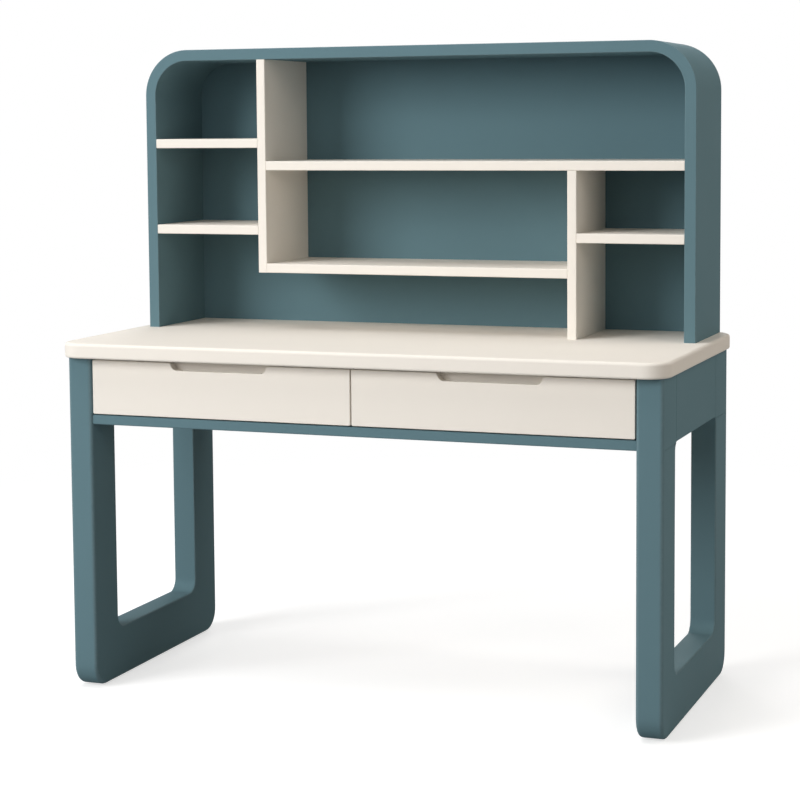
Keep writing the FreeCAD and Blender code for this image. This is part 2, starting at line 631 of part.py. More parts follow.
def leg_ring():
    """Closed right-hand loop of posts, floor rail and apron, before it is split at the seams."""
    travel = X_AXIS * FRAME_THICKNESS
    outside = [point(FRAME_INNER_X, FRAME_FRONT_Y, GLIDE_THICKNESS),
               point(FRAME_INNER_X, FRAME_REAR_Y, GLIDE_THICKNESS),
               point(FRAME_INNER_X, FRAME_REAR_Y, TOP_UNDERSIDE),
               point(FRAME_INNER_X, FRAME_FRONT_Y, TOP_UNDERSIDE)]
    inside = [point(FRAME_INNER_X, OPENING_FRONT_Y, OPENING_BOTTOM_Z),
              point(FRAME_INNER_X, OPENING_REAR_Y, OPENING_BOTTOM_Z),
              point(FRAME_INNER_X, OPENING_REAR_Y, OPENING_TOP_Z),
              point(FRAME_INNER_X, OPENING_FRONT_Y, OPENING_TOP_Z)]
    ring = rounded_face(outside, [FRAME_OUTER_CORNER, FRAME_OUTER_CORNER, 0, 0]).extrude(travel)
    inner_radii = [FRAME_INNER_CORNER, FRAME_INNER_CORNER, APRON_CORNER, APRON_CORNER]
    ring = ring.cut(rounded_face(inside, inner_radii).extrude(travel))

    def on_face(p):
        return near(p.x, FRAME_INNER_X) or near(p.x, FRAME_OUTER_X)

    def on_opening(p):
        return (OPENING_FRONT_Y - TOLERANCE < p.y < OPENING_REAR_Y + TOLERANCE
                and OPENING_BOTTOM_Z - TOLERANCE < p.z < OPENING_TOP_Z + TOLERANCE)

    outer_edges = [edge for edge in ring.Edges
                   if all(on_face(v.Point) and not on_opening(v.Point) for v in edge.Vertexes)
                   and not all(near(v.Z, TOP_UNDERSIDE) for v in edge.Vertexes)
                   and not near(edge.Length, FRAME_THICKNESS)]
    ring = ring.makeFillet(FRAME_EDGE_ROUND, outer_edges)
    opening_edges = [edge for edge in ring.Edges
                     if all(on_face(v.Point) and on_opening(v.Point) for v in edge.Vertexes)
                     and not near(edge.Length, FRAME_THICKNESS)]
    return ring.makeFillet(OPENING_EDGE_ROUND, opening_edges)


def apron_zone():
    """Block that holds the right side apron between its two seams."""
    return block(FRAME_INNER_X - OVERSHOOT, FRAME_OUTER_X + OVERSHOOT, FRONT_SEAM_Y, REAR_SEAM_Y,
                 OPENING_TOP_Z - APRON_CORNER, TOP_UNDERSIDE + OVERSHOOT)


def seam_grooves():
    """Fine V-grooves along both faces of the two seams."""
    low = OPENING_TOP_Z - APRON_CORNER
    half = SEAM_GROOVE_WIDTH / 2
    grooves = []
    for seam in (FRONT_SEAM_Y, REAR_SEAM_Y):
        for face, inward in ((FRAME_OUTER_X, -SEAM_GROOVE_DEPTH), (FRAME_INNER_X, SEAM_GROOVE_DEPTH)):
            outline = [point(face, seam - half, low),
                       point(face + inward, seam, low),
                       point(face, seam + half, low)]
            grooves.append(prism(outline, Z_AXIS * (TOP_UNDERSIDE - low)))
    return grooves


def glide_points():
    """Places of the right-hand glides on the floor."""
    return [point(FRAME_MIDDLE_X, FRAME_FRONT_Y + GLIDE_INSET, 0),
            point(FRAME_MIDDLE_X, FRAME_REAR_Y - GLIDE_INSET, 0)]


def floor_glides():
    """Nylon discs with a pin that is driven into the floor rail."""
    solids = []
    for place in glide_points():
        disc = pin(place, Z_AXIS, GLIDE_RADIUS, GLIDE_THICKNESS)
        stem = pin(place, Z_AXIS, GLIDE_PIN_RADIUS, GLIDE_THICKNESS + GLIDE_PIN_LENGTH)
        solids.append(disc.fuse(stem).removeSplitter())
    return group(both_sides(solids))


def glide_bores():
    return [pin(place, Z_AXIS, GLIDE_PIN_RADIUS + BORE_CLEARANCE,
                GLIDE_THICKNESS + GLIDE_PIN_LENGTH + BORE_EXTRA_DEPTH) for place in glide_points()]


def side_cutters():
    """Everything that is bored into the right leg frame and the right side apron."""
    dowels = even_dowel_bores(post_dowel_places() + apron_dowel_places(), DOWEL_RADIUS)
    fittings = glide_bores() + bolt_bores() + bracket_bores() + case_runner_bores()
    return dowels + case_dowel_bores() + case_cam_bores() + fittings


def right_leg_frame():
    """U of two posts and a floor rail, in one piece."""
    frame = leg_ring().cut(apron_zone()).cut(seam_grooves())
    return bored(frame, side_cutters())


def right_side_apron():
    apron = leg_ring().common(apron_zone()).cut(seam_grooves())
    return bored(apron, side_cutters())


def drawer_rail():
    """Thin rail under the drawer fronts."""
    rail = block(-FRAME_INNER_X, FRAME_INNER_X, RAIL_FRONT_Y, RAIL_FRONT_Y + RAIL_DEPTH,
                 RAIL_BOTTOM_Z, RAIL_TOP_Z)
    rail = rounded(rail, RAIL_EDGE_ROUND, lambda p: near(p.y, RAIL_FRONT_Y) and near(p.z, RAIL_TOP_Z))
    rail = rounded(rail, RAIL_EDGE_ROUND, lambda p: near(p.y, RAIL_FRONT_Y) and near(p.z, RAIL_BOTTOM_Z))
    return bored(rail, case_dowel_bores() + case_cam_bores())


def rear_apron():
    apron = block(-FRAME_INNER_X, FRAME_INNER_X, REAR_APRON_FRONT_Y, REAR_APRON_BACK_Y,
                  OPENING_TOP_Z, TOP_UNDERSIDE)
    return bored(apron, case_dowel_bores() + case_cam_bores() + bracket_bores())


def case_cam_bores():
    bores = []
    for place in cam_places():
        bores += [cam_bore(place), cam_bolt_bore(place)]
    return both_sides(bores)


def centre_partition():
    """Upright board between the drawers that carries their inner runners."""
    board = block(-PARTITION_X, PARTITION_X, PARTITION_FRONT_Y, REAR_APRON_FRONT_Y, RAIL_TOP_Z, TOP_UNDERSIDE)
    return bored(board, case_dowel_bores() + both_sides(case_runner_bores()))


# ---------------------------------------------------------------- drawer runners
# Runner outlines are (distance from the case face, height over the runner's middle).

RUNNER_FACES = ((FRAME_INNER_X, -1), (PARTITION_X, 1))


def channel_outline(web, mouth, half_height, lip):
    """C-section with its web at one distance and its mouth at another; lip closes the mouth a little."""
    way = 1 if mouth > web else -1
    inner_web = web + way * RUNNER_WALL
    inner_mouth = mouth - way * RUNNER_WALL
    inner_half = half_height - RUNNER_WALL
    lower = [(web, -half_height), (mouth, -half_height)]
    if lip > 0:
        lower += [(mouth, lip - inner_half), (inner_mouth, lip - inner_half), (inner_mouth, -inner_half)]
    else:
        lower += [(mouth, -inner_half)]
    lower += [(inner_web, -inner_half)]
    upper = [(distance, -height) for distance, height in reversed(lower)]
    return lower + upper


def channel(face, outline, cutters):
    """Runner member along the desk's depth on one face of the case."""
    face_x, way = face
    corners = [point(face_x + way * distance, RUNNER_FRONT_Y, RUNNER_Z + height)
               for distance, height in outline]
    return bored(prism(corners, Y_AXIS * RUNNER_LENGTH), cutters)


def runner_screw_rows():
    return (RUNNER_FRONT_Y + RUNNER_SCREW_INSET,
            (RUNNER_FRONT_Y + RUNNER_REAR_Y) / 2,
            RUNNER_REAR_Y - RUNNER_SCREW_INSET)


def case_runner_screw_seats():
    """Screws through the outer members into the right bay's apron, posts and partition."""
    return [(point(face_x + way * RUNNER_WALL, y, RUNNER_Z), point(-way, 0, 0))
            for face_x, way in RUNNER_FACES for y in runner_screw_rows()]


def box_runner_screw_seats():
    """Screws through the inner members into the right drawer's sides."""
    return [(point(face_x + way * (RUNNER_WIDTH - RUNNER_WALL), y, RUNNER_Z), point(way, 0, 0))
            for face_x, way in RUNNER_FACES for y in runner_screw_rows()]


def runner_screws(seats):
    return [flush_screw(seat, direction, RUNNER_WALL, RUNNER_SCREW_LENGTH) for seat, direction in seats]


def runner_screw_bores(seats):
    return [flush_screw_bore(seat, direction, RUNNER_WALL, RUNNER_SCREW_LENGTH)
            for seat, direction in seats]


def case_runner_bores():
    return runner_screw_bores(case_runner_screw_seats())


def outer_runners():
    outline = channel_outline(0, OUTER_MEMBER_WIDTH, OUTER_MEMBER_HALF, RUNNER_LIP)
    return group([channel(face, outline, case_runner_bores()) for face in RUNNER_FACES])


def middle_runners():
    outline = channel_outline(MIDDLE_MEMBER_WEB, MIDDLE_MEMBER_OPEN, MIDDLE_MEMBER_HALF, RUNNER_LIP)
    return group([channel(face, outline, []) for face in RUNNER_FACES])


def inner_runners():
    outline = channel_outline(RUNNER_WIDTH, RUNNER_WIDTH - INNER_MEMBER_WIDTH, INNER_MEMBER_HALF, 0)
    cutters = runner_screw_bores(box_runner_screw_seats())
    return group([channel(face, outline, cutters) for face in RUNNER_FACES])


def ball_cage(x, start_y, z):
    """Strip that holds one row of balls."""
    cage = block(x - CAGE_WIDTH / 2, x + CAGE_WIDTH / 2, start_y, start_y + CAGE_LENGTH,
                 z - CAGE_THICKNESS / 2, z + CAGE_THICKNESS / 2)
    balls = [Part.makeSphere(BALL_RADIUS, point(x, start_y + BALL_PITCH * (index + 0.5), z))
             for index in range(BALLS_PER_CAGE)]
    return cage.fuse(balls)


def ball_cages():
    """Rows between outer and middle member at the rear, and between middle and inner at the front."""
    outer_distance = OUTER_MEMBER_WIDTH / 2
    inner_distance = (MIDDLE_MEMBER_WEB + MIDDLE_MEMBER_OPEN) / 2
    rows = ((outer_distance, MIDDLE_MEMBER_HALF, RUNNER_REAR_Y - CAGE_END_SETBACK - CAGE_LENGTH),
            (inner_distance, INNER_MEMBER_HALF, RUNNER_FRONT_Y + CAGE_END_SETBACK))
    return group([ball_cage(face_x + way * distance, start_y,
                            RUNNER_Z + sign * (half_height + ROW_HEIGHT / 2))
                  for face_x, way in RUNNER_FACES
                  for distance, half_height, start_y in rows
                  for sign in (-1, 1)])


# ---------------------------------------------------------------- right drawer

def screw_heights():
    """Heights just below and just above the runner's inner member."""
    reach = INNER_MEMBER_HALF + SCREW_HEAD_RADIUS + BOX_SCREW_CLEARANCE
    return (RUNNER_Z - reach, RUNNER_Z + reach)


def front_screw_seats():
    """Screws from inside the box into the drawer front."""
    return [(point(FRONT_MIDDLE_X + shift, BOX_SIDE_FRONT_Y, z), -Y_AXIS)
            for shift in (-FRONT_SCREW_SPREAD, FRONT_SCREW_SPREAD) for z in screw_heights()]


def box_screw_seats():
    """Screws that join the box front and the back to both sides."""
    seats = []
    for side_x, way in ((BOX_OUTER_X, -1), (BOX_INNER_X, 1)):
        middle_x = side_x + way * BOX_BOARD / 2
        for z in screw_heights():
            seats.append((point(middle_x, BOX_FRONT_Y, z), Y_AXIS))
            seats.append((point(side_x, BOX_REAR_Y - BOX_BOARD / 2, z), point(way, 0, 0)))
    return seats


def box_cutters():
    """Everything that is bored into the right drawer's boards."""
    front = [screw_bore(seat, direction, FRONT_SCREW_LENGTH) for seat, direction in front_screw_seats()]
    box = [flush_screw_bore(seat, direction, SCREW_HEAD_HEIGHT, BOX_SCREW_LENGTH)
           for seat, direction in box_screw_seats()]
    return front + box + runner_screw_bores(box_runner_screw_seats())


def bottom_groove():
    """Space that the boards leave for the bottom panel."""
    reach = BOX_BOARD - GROOVE_DEPTH
    return block(BOX_INNER_X + reach, BOX_OUTER_X - reach, BOX_SIDE_FRONT_Y - GROOVE_DEPTH, BOX_REAR_Y,
                 BOTTOM_PANEL_Z, BOTTOM_PANEL_Z + BOTTOM_THICKNESS + GROOVE_CLEARANCE)


def drawer_front():
    """Front panel with a sloped finger notch in its top edge and a groove behind the lip."""
    top_half = NOTCH_TOP_WIDTH / 2
    low_half = NOTCH_BOTTOM_WIDTH / 2
    outline = [(FRONT_INNER_X, FRONT_BOTTOM_Z), (FRONT_OUTER_X, FRONT_BOTTOM_Z), (FRONT_OUTER_X, FRONT_TOP_Z),
               (FRONT_MIDDLE_X + top_half, FRONT_TOP_Z), (FRONT_MIDDLE_X + low_half, NOTCH_BOTTOM_Z),
               (FRONT_MIDDLE_X - low_half, NOTCH_BOTTOM_Z), (FRONT_MIDDLE_X - top_half, FRONT_TOP_Z),
               (FRONT_INNER_X, FRONT_TOP_Z)]
    radii = [FRONT_CORNER_ROUND] * 3
    radii += [NOTCH_UPPER_ROUND, NOTCH_LOWER_ROUND, NOTCH_LOWER_ROUND, NOTCH_UPPER_ROUND, FRONT_CORNER_ROUND]
    corners = [point(x, FRONT_FACE_Y, z) for x, z in outline]
    panel = rounded_face(corners, radii).extrude(Y_AXIS * FRONT_THICKNESS)
    panel = rounded(panel, FRONT_EDGE_ROUND, lambda p: near(p.y, FRONT_FACE_Y))
    groove_half = low_half - NOTCH_LOWER_ROUND
    groove = block(FRONT_MIDDLE_X - groove_half, FRONT_MIDDLE_X + groove_half,
                   BOX_FRONT_Y - FINGER_GROOVE_DEPTH, BOX_FRONT_Y,
                   NOTCH_BOTTOM_Z - FINGER_GROOVE_DROP, NOTCH_BOTTOM_Z)
    return bored(panel.cut(groove), box_cutters())


def box_front():
    board = block(BOX_INNER_X, BOX_OUTER_X, BOX_FRONT_Y, BOX_SIDE_FRONT_Y, BOX_BOTTOM_Z, BOX_FRONT_TOP_Z)
    board = rounded(board, BOX_EDGE_ROUND,
                    lambda p: near(p.z, BOX_FRONT_TOP_Z) and near(p.y, BOX_SIDE_FRONT_Y))
    return bored(board.cut(bottom_groove()), box_cutters())


def box_side(face_x, way):
    """Side board; way points from its runner face into the drawer."""
    low_x, high_x = sorted((face_x, face_x + way * BOX_BOARD))
    board = block(low_x, high_x, BOX_SIDE_FRONT_Y, BOX_REAR_Y, BOX_BOTTOM_Z, BOX_TOP_Z)
    for edge_x in (low_x, high_x):
        board = rounded(board, BOX_EDGE_ROUND, lambda p: near(p.z, BOX_TOP_Z) and near(p.x, edge_x))
    return bored(board.cut(bottom_groove()), box_cutters())


def box_back():
    """Board between the sides that stands on the bottom panel."""
    board = block(BOX_INNER_X + BOX_BOARD, BOX_OUTER_X - BOX_BOARD, BOX_REAR_Y - BOX_BOARD, BOX_REAR_Y,
                  BOTTOM_PANEL_Z + BOTTOM_THICKNESS, BOX_TOP_Z)
    return bored(board, box_cutters())


def box_bottom():
    """Thin panel in the grooves of the sides and the box front."""
    reach = BOX_BOARD - GROOVE_DEPTH + GROOVE_CLEARANCE
    return block(BOX_INNER_X + reach, BOX_OUTER_X - reach,
                 BOX_SIDE_FRONT_Y - GROOVE_DEPTH + GROOVE_CLEARANCE, BOX_REAR_Y,
                 BOTTOM_PANEL_Z, BOTTOM_PANEL_Z + BOTTOM_THICKNESS)


def front_screws():
    return group([slotted_screw(seat, direction, FRONT_SCREW_LENGTH)
                  for seat, direction in front_screw_seats()])


def box_screws():
    return group([flush_screw(seat, direction, SCREW_HEAD_HEIGHT, BOX_SCREW_LENGTH)
                  for seat, direction in box_screw_seats()])


def right_drawer():
    """Node endings and shapes of the right drawer and its runners."""
    return {
        "front": drawer_front(),
        "box_front": box_front(),
        "outer_side": box_side(BOX_OUTER_X, -1),
        "inner_side": box_side(BOX_INNER_X, 1),
        "back": box_back(),
        "bottom": box_bottom(),
        "front_screws": front_screws(),
        "box_screws": box_screws(),
        "runner_screws": group(runner_screws(box_runner_screw_seats())),
        "inner_runners": inner_runners(),
        "middle_runners": middle_runners(),
        "outer_runners": outer_runners(),
        "ball_cages": ball_cages(),
    }


# ---------------------------------------------------------------- hutch

def arch(half_width, top_z, radius, front_y, rear_y):
    """Solid with a flat foot on the desk top and two rounded upper corners."""
    corners = [point(-half_width, front_y, DESK_HEIGHT), point(half_width, front_y, DESK_HEIGHT),
               point(half_width, front_y, top_z), point(-half_width, front_y, top_z)]
    return rounded_face(corners, [0, 0, radius, radius]).extrude(Y_AXIS * (rear_y - front_y))


def hutch_shell():
    """Bent board in an upside-down U, with a rebate for the back panel."""
    inner_radius = SHELL_CORNER_RADIUS - SHELL_THICKNESS
    outer = arch(HUTCH_OUTER_X, HUTCH_TOP_Z, SHELL_CORNER_RADIUS, HUTCH_FRONT_Y, HUTCH_REAR_Y)
    inner = arch(HUTCH_INNER_X, HUTCH_CEILING_Z, inner_radius, HUTCH_FRONT_Y, HUTCH_REAR_Y)
    shell = outer.cut(inner)
    shell = rounded(shell, SHELL_EDGE_ROUND,
                    lambda p: near(p.y, HUTCH_FRONT_Y) and not near(abs(p.x), HUTCH_INNER_X - inner_radius))
    rebate = arch(HUTCH_INNER_X + REBATE_WIDTH, HUTCH_CEILING_Z + REBATE_WIDTH, inner_radius + REBATE_WIDTH,
                  BACK_FRONT_Y, HUTCH_REAR_Y)
    cutters = hutch_dowel_bores() + both_sides(insert_bores()) + back_screw_bores()
    return bored(shell.cut(rebate), cutters)


def hutch_back_panel():
    """Panel in the shell's rebate, flush with its rear edges."""
    reach = REBATE_WIDTH - REBATE_CLEARANCE
    radius = SHELL_CORNER_RADIUS - SHELL_THICKNESS + reach
    panel = arch(HUTCH_INNER_X + reach, HUTCH_CEILING_Z + reach, radius, BACK_FRONT_Y, HUTCH_REAR_Y)
    return bored(panel, back_screw_bores())


def hutch_board(x0, x1, z0, z1, eased):
    """Board from the hutch front to the back panel; eased picks the front edges by their place."""
    board = block(x0, x1, HUTCH_FRONT_Y, BACK_FRONT_Y, z0, z1)
    front = [edge for edge in board.Edges
             if all(near(v.Y, HUTCH_FRONT_Y) for v in edge.Vertexes) and eased(edge)]
    board = board.makeFillet(SHELF_EDGE_ROUND, front)
    return bored(board, hutch_dowel_bores() + back_screw_bores())


def shelf(x0, x1, z):
    return hutch_board(x0, x1, z, z + SHELF_THICKNESS,
                       lambda edge: near(edge.Vertexes[0].Z, edge.Vertexes[1].Z))


def divider(x, z0, z1):
    return hutch_board(x, x + SHELF_THICKNESS, z0, z1,
                       lambda edge: near(edge.Vertexes[0].X, edge.Vertexes[1].X))


def hutch_boards():
    """Node names and shapes of the shelves and dividers."""
    return {
        "left_divider": divider(LEFT_DIVIDER_X, MIDDLE_SHELF_Z, HUTCH_CEILING_Z),
        "right_divider": divider(RIGHT_DIVIDER_X, DESK_HEIGHT, LONG_SHELF_Z),
        "upper_left_shelf": shelf(-HUTCH_INNER_X, LEFT_DIVIDER_X, UPPER_LEFT_SHELF_Z),
        "lower_left_shelf": shelf(-HUTCH_INNER_X, LEFT_DIVIDER_X, LOWER_LEFT_SHELF_Z),
        "long_shelf": shelf(LEFT_DIVIDER_RIGHT_X, HUTCH_INNER_X, LONG_SHELF_Z),
        "middle_shelf": shelf(LEFT_DIVIDER_RIGHT_X, RIGHT_DIVIDER_X, MIDDLE_SHELF_Z),
        "right_shelf": shelf(RIGHT_DIVIDER_RIGHT_X, HUTCH_INNER_X, RIGHT_SHELF_Z),
    }


def between(low, high, share):
    return low + (high - low) * share


def back_screw_seats():
    """Screws through the back panel into the shell, the dividers and the shelves."""
    half = SHELF_THICKNESS / 2
    rim = REBATE_WIDTH / 2
    spots = [(sign * (HUTCH_INNER_X + rim), between(DESK_HEIGHT, HUTCH_TOP_Z, share))
             for sign in (-1, 1) for share in SHELL_SIDE_SCREW_SHARES]
    spots += [(HUTCH_INNER_X * share, HUTCH_CEILING_Z + rim) for share in SHELL_TOP_SCREW_SHARES]
    spots += [(between(LEFT_DIVIDER_RIGHT_X, HUTCH_INNER_X, share), LONG_SHELF_Z + half)
              for share in LONG_SHELF_SCREW_SHARES]
    for share in SHORT_RUN_SCREW_SHARES:
        spots += [(between(LEFT_DIVIDER_RIGHT_X, RIGHT_DIVIDER_X, share), MIDDLE_SHELF_Z + half),
                  (between(-HUTCH_INNER_X, LEFT_DIVIDER_X, share), UPPER_LEFT_SHELF_Z + half),
                  (between(-HUTCH_INNER_X, LEFT_DIVIDER_X, share), LOWER_LEFT_SHELF_Z + half),
                  (between(RIGHT_DIVIDER_RIGHT_X, HUTCH_INNER_X, share), RIGHT_SHELF_Z + half)]
    return [(point(x, HUTCH_REAR_Y, z), -Y_AXIS) for x, z in spots]


def back_screw_bores():
    return [screw_bore(seat, direction, BACK_SCREW_LENGTH) for seat, direction in back_screw_seats()]


def back_panel_screws():
    return group([slotted_screw(seat, direction, BACK_SCREW_LENGTH)
                  for seat, direction in back_screw_seats()])


# ---------------------------------------------------------------- the whole desk

def all_nodes():
    """Node names and shapes of every piece."""
    frame = right_leg_frame()
    apron = right_side_apron()
    cams = cam_places()
    case_screws = runner_screws(case_runner_screw_seats())
    post_dowels = even_dowels(post_dowel_places(), DOWEL_RADIUS)
    apron_dowels = even_dowels(apron_dowel_places(), DOWEL_RADIUS)
    nodes = {
        "tabletop": tabletop(),
        "right_leg_frame": frame,
        "left_leg_frame": mirrored(frame),
        "right_side_apron": apron,
        "left_side_apron": mirrored(apron),
        "drawer_rail": drawer_rail(),
        "rear_apron": rear_apron(),
        "centre_partition": centre_partition(),
        "floor_glides": floor_glides(),
        "post_dowels": group(both_sides(post_dowels)),
        "apron_dowels": group(both_sides(apron_dowels)),
        "case_dowels": group(even_dowels(case_dowel_places(), SMALL_DOWEL_RADIUS)),
        "cam_locks": group(both_sides([cam_lock(place) for place in cams])),
        "cam_bolts": group(both_sides([cam_bolt(place) for place in cams])),
        "top_brackets": top_brackets(),
        "bracket_screws": bracket_screws(),
        "outer_runner_screws": group(both_sides(case_screws)),
        "hutch_shell": hutch_shell(),
        "hutch_back_panel": hutch_back_panel(),
        "hutch_dowels": hutch_dowels(),
        "hutch_bolts": hutch_bolts(),
        "hutch_inserts": hutch_inserts(),
        "back_panel_screws": back_panel_screws(),
    }
    nodes.update(hutch_boards())
    for ending, shape in right_drawer().items():
        nodes["right_drawer_" + ending] = shape
        nodes["left_drawer_" + ending] = mirrored(shape)
    return nodes


os.makedirs("parts", exist_ok=True)
for name, shape in all_nodes().items():
    shape.exportStep("parts/" + name + ".step")
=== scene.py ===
"""Looks of a student desk with a hutch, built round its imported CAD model.

Two U-shaped leg frames, a rounded top, two drawers and a bent-shell shelf unit, in teal and
cream matt lacquer. Metres, +X the sitter's right, +Y the rear, +Z up. Shapes are worked out
in millimetres and turned to metres when they become meshes.
"""

from __future__ import annotations

import json
import logging
import math
from dataclasses import dataclass, field
from enum import Enum, IntEnum
from typing import Any, NamedTuple, Sequence

import bpy
import numpy as np
from mathutils import Matrix, Vector

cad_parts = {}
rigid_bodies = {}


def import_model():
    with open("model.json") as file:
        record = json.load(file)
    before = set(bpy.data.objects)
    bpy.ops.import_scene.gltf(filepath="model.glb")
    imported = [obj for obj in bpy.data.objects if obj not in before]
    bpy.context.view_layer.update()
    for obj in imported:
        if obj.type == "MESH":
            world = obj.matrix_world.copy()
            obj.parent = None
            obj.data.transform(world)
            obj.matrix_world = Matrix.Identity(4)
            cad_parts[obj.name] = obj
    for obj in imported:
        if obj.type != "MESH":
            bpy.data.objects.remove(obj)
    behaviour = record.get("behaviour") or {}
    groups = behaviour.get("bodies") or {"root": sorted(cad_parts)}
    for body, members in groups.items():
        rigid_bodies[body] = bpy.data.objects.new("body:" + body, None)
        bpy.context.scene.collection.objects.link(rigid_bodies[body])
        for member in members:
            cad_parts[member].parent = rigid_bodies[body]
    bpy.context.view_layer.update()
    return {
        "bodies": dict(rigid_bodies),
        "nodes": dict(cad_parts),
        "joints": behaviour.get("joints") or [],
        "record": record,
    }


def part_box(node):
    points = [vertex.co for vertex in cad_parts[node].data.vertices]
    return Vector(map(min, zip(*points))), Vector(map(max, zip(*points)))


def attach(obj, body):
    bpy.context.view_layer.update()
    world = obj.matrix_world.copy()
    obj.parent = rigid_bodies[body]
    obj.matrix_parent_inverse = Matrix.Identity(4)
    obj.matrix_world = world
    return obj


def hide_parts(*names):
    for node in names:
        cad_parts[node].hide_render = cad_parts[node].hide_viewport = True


Array = np.ndarray
Pair = tuple[float, float]
Triple = tuple[float, float, float]
Colour = tuple[float, float, float, float]
Tree = bpy.types.NodeTree
Node = bpy.types.Node

LOG = logging.getLogger("desk")

# Metres in a millimetre.
MM = 0.001
# Points that agree to this many millimetres become one vertex.
MERGE_MM = 0.001
# A face needs this many corners.
FEWEST_CORNERS = 3
# Faces that lean further apart than this keep a sharp edge between them.
SMOOTH_COSINE = math.cos(math.radians(32.0))
# Stands in for a length of zero when a direction is divided by it.
LEAST_LENGTH = 1e-12
QUARTER_TURN = math.pi / 2
# Corner rounds of this radius or more are too gentle to get the lighter crown, which is partly rubbed wear
# and partly a painted highlight.
WORN_AND_LIT_BELOW_MM = 12.0
# Mesh attribute that says how far each vertex sticks out on a rounded edge.
RIM = "rim"
# Mean of a noise pattern, and the range that nearly all of its values lie in.
NOISE_MEAN = 0.5
NOISE_RANGE = (0.3, 0.7)
WHITE: Colour = (1.0, 1.0, 1.0, 1.0)
# Light and dark streaks of lacquered birch.
BIRCH = ("#D9BC8C", "#B88F59")


class Side(Enum):
    """Side of the desk, as the names of nodes and bodies give it."""

    LEFT = "left"
    RIGHT = "right"


class Axis(IntEnum):
    """Axis of the shared frame, as an index."""

    X = 0
    Y = 1
    Z = 2


class Plane(Enum):
    """Which axes an outline's two coordinates and its thickness run along."""

    PLAN = (Axis.X, Axis.Y, Axis.Z)
    FRONT = (Axis.X, Axis.Z, Axis.Y)
    SIDE = (Axis.Y, Axis.Z, Axis.X)


class Slot(Enum):
    """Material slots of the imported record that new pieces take."""

    TEAL = "teal_lacquer"
    CREAM = "cream_lacquer"

    @property
    def finish(self) -> str:
        """Name of the finish on new pieces in this slot."""
        return f"matt_lacquer_{self.name.lower()}"


class Detail(IntEnum):
    """How many finer layers a noise pattern has."""

    SMOOTH = 1
    FINE = 2
    CLOUDY = 3
    ROUGH = 4


# -------- surfaces


@dataclass(frozen=True)
class Rings:
    """Closed rings of points stacked from one end of a solid to the other.

    points has the shape (rings, around, 3), in millimetres. rim has the shape
    (rings, around): 0 on flat faces and up to 1 on the crown of a rounded edge.
    """

    points: Array
    rim: Array

    def on(self, side: Side) -> Rings:
        """These rings of the right side, mirrored in the desk's middle plane for the left."""
        return self if side is Side.RIGHT else Rings(self.points * [-1.0, 1.0, 1.0], self.rim)


def arc_shares(steps: int) -> Array:
    """Evenly spaced shares from 0 to 1 along an arc."""
    return np.linspace(0.0, 1.0, steps)


def spokes(angle: Array) -> Array:
    """Unit directions (cos, sin) at each angle, along a new last axis."""
    return np.stack([np.cos(angle), np.sin(angle)], axis=-1)


def rounded_outline(
    corners: Sequence[Pair] | Array, radii: Sequence[float] | Array, inset: Array, steps: int
) -> tuple[Array, Array]:
    """Flat closed outline with a round at each corner, slid inwards by each inset.

    Corner i of the polygon moves to P + inset * m, where m = (n0 + n1) / (1 + n0 . n1) comes
    from the inward normals of its two sides. Its arc is centre + r * (cos t, sin t), with t
    turning from one side's outward normal to the next one's. The radius r shrinks by the
    inset at an outer corner and grows by it at an inner one.

    Args:
        corners: Polygon points, counter-clockwise.
        radii: Radius at each corner.
        inset: One inward distance per ring.
        steps: Points on each arc.

    Returns:
        Points of the shape (rings, around, 2), and how near each point around is to an
        arc's crown, from 0 to 1.
    """
    place = np.asarray(corners, float)
    radius = np.asarray(radii, float)
    way = np.roll(place, -1, axis=0) - place
    way /= np.linalg.norm(way, axis=1, keepdims=True)
    way_before = np.roll(way, 1, axis=0)
    inward = np.stack([-way[:, 1], way[:, 0]], axis=1)
    before = np.roll(inward, 1, axis=0)
    cosine = np.sum(inward * before, axis=1)
    turn = np.arctan2(way_before[:, 0] * way[:, 1] - way_before[:, 1] * way[:, 0], cosine)
    sign = np.sign(turn)
    mitre = (inward + before) / (1.0 + cosine)[:, None]
    shift = inset[:, None]
    arc_radius = np.maximum(radius - sign * shift, 0.0)
    centre = place + (shift + sign * arc_radius)[..., None] * mitre
    share = arc_shares(steps)
    angle = np.arctan2(-before[:, 1], -before[:, 0])[:, None] + turn[:, None] * share
    points = centre[:, :, None, :] + (sign * arc_radius)[:, :, None, None] * spokes(angle)
    # Crown of small corner rounds, where the lacquer turns lighter: partly rubbed wear, partly a painted
    # highlight.
    crown = np.where(radius[:, None] < WORN_AND_LIT_BELOW_MM, np.sin(np.pi * share), 0.0)
    return points.reshape(len(inset), -1, 2), crown.reshape(-1)


def rounded_edge(radius: float, steps: int) -> tuple[Array, Array, Array]:
    """Quarter round between an end face and a side face.

    At the angle a from 0 to a quarter turn the surface lies r * (1 - sin a) inside the side
    face and r * (1 - cos a) behind the end face.

    Args:
        radius: Radius r of the round.
        steps: Points on the quarter circle, from the end face to the side face.

    Returns:
        Inset, depth and rim value at each step.
    """
    angle = arc_shares(steps) * QUARTER_TURN
    return radius * (1 - np.sin(angle)), radius * (1 - np.cos(angle)), np.sin(2 * angle)


def placed(flat: Array, across: Array, plane: Plane) -> Array:
    """Puts outline points into space.

    Args:
        flat: Outline points of the shape (rings, around, 2).
        across: Distances along the thickness, for each ring or for each point around.
        plane: Which axes the outline and the thickness take.

    Returns:
        Points of the shape (rings, around, 3).
    """
    first, second, third = plane.value
    points = np.empty(flat.shape[:2] + (3,))
    points[..., first] = flat[..., 0]
    points[..., second] = flat[..., 1]
    points[..., third] = across
    return points


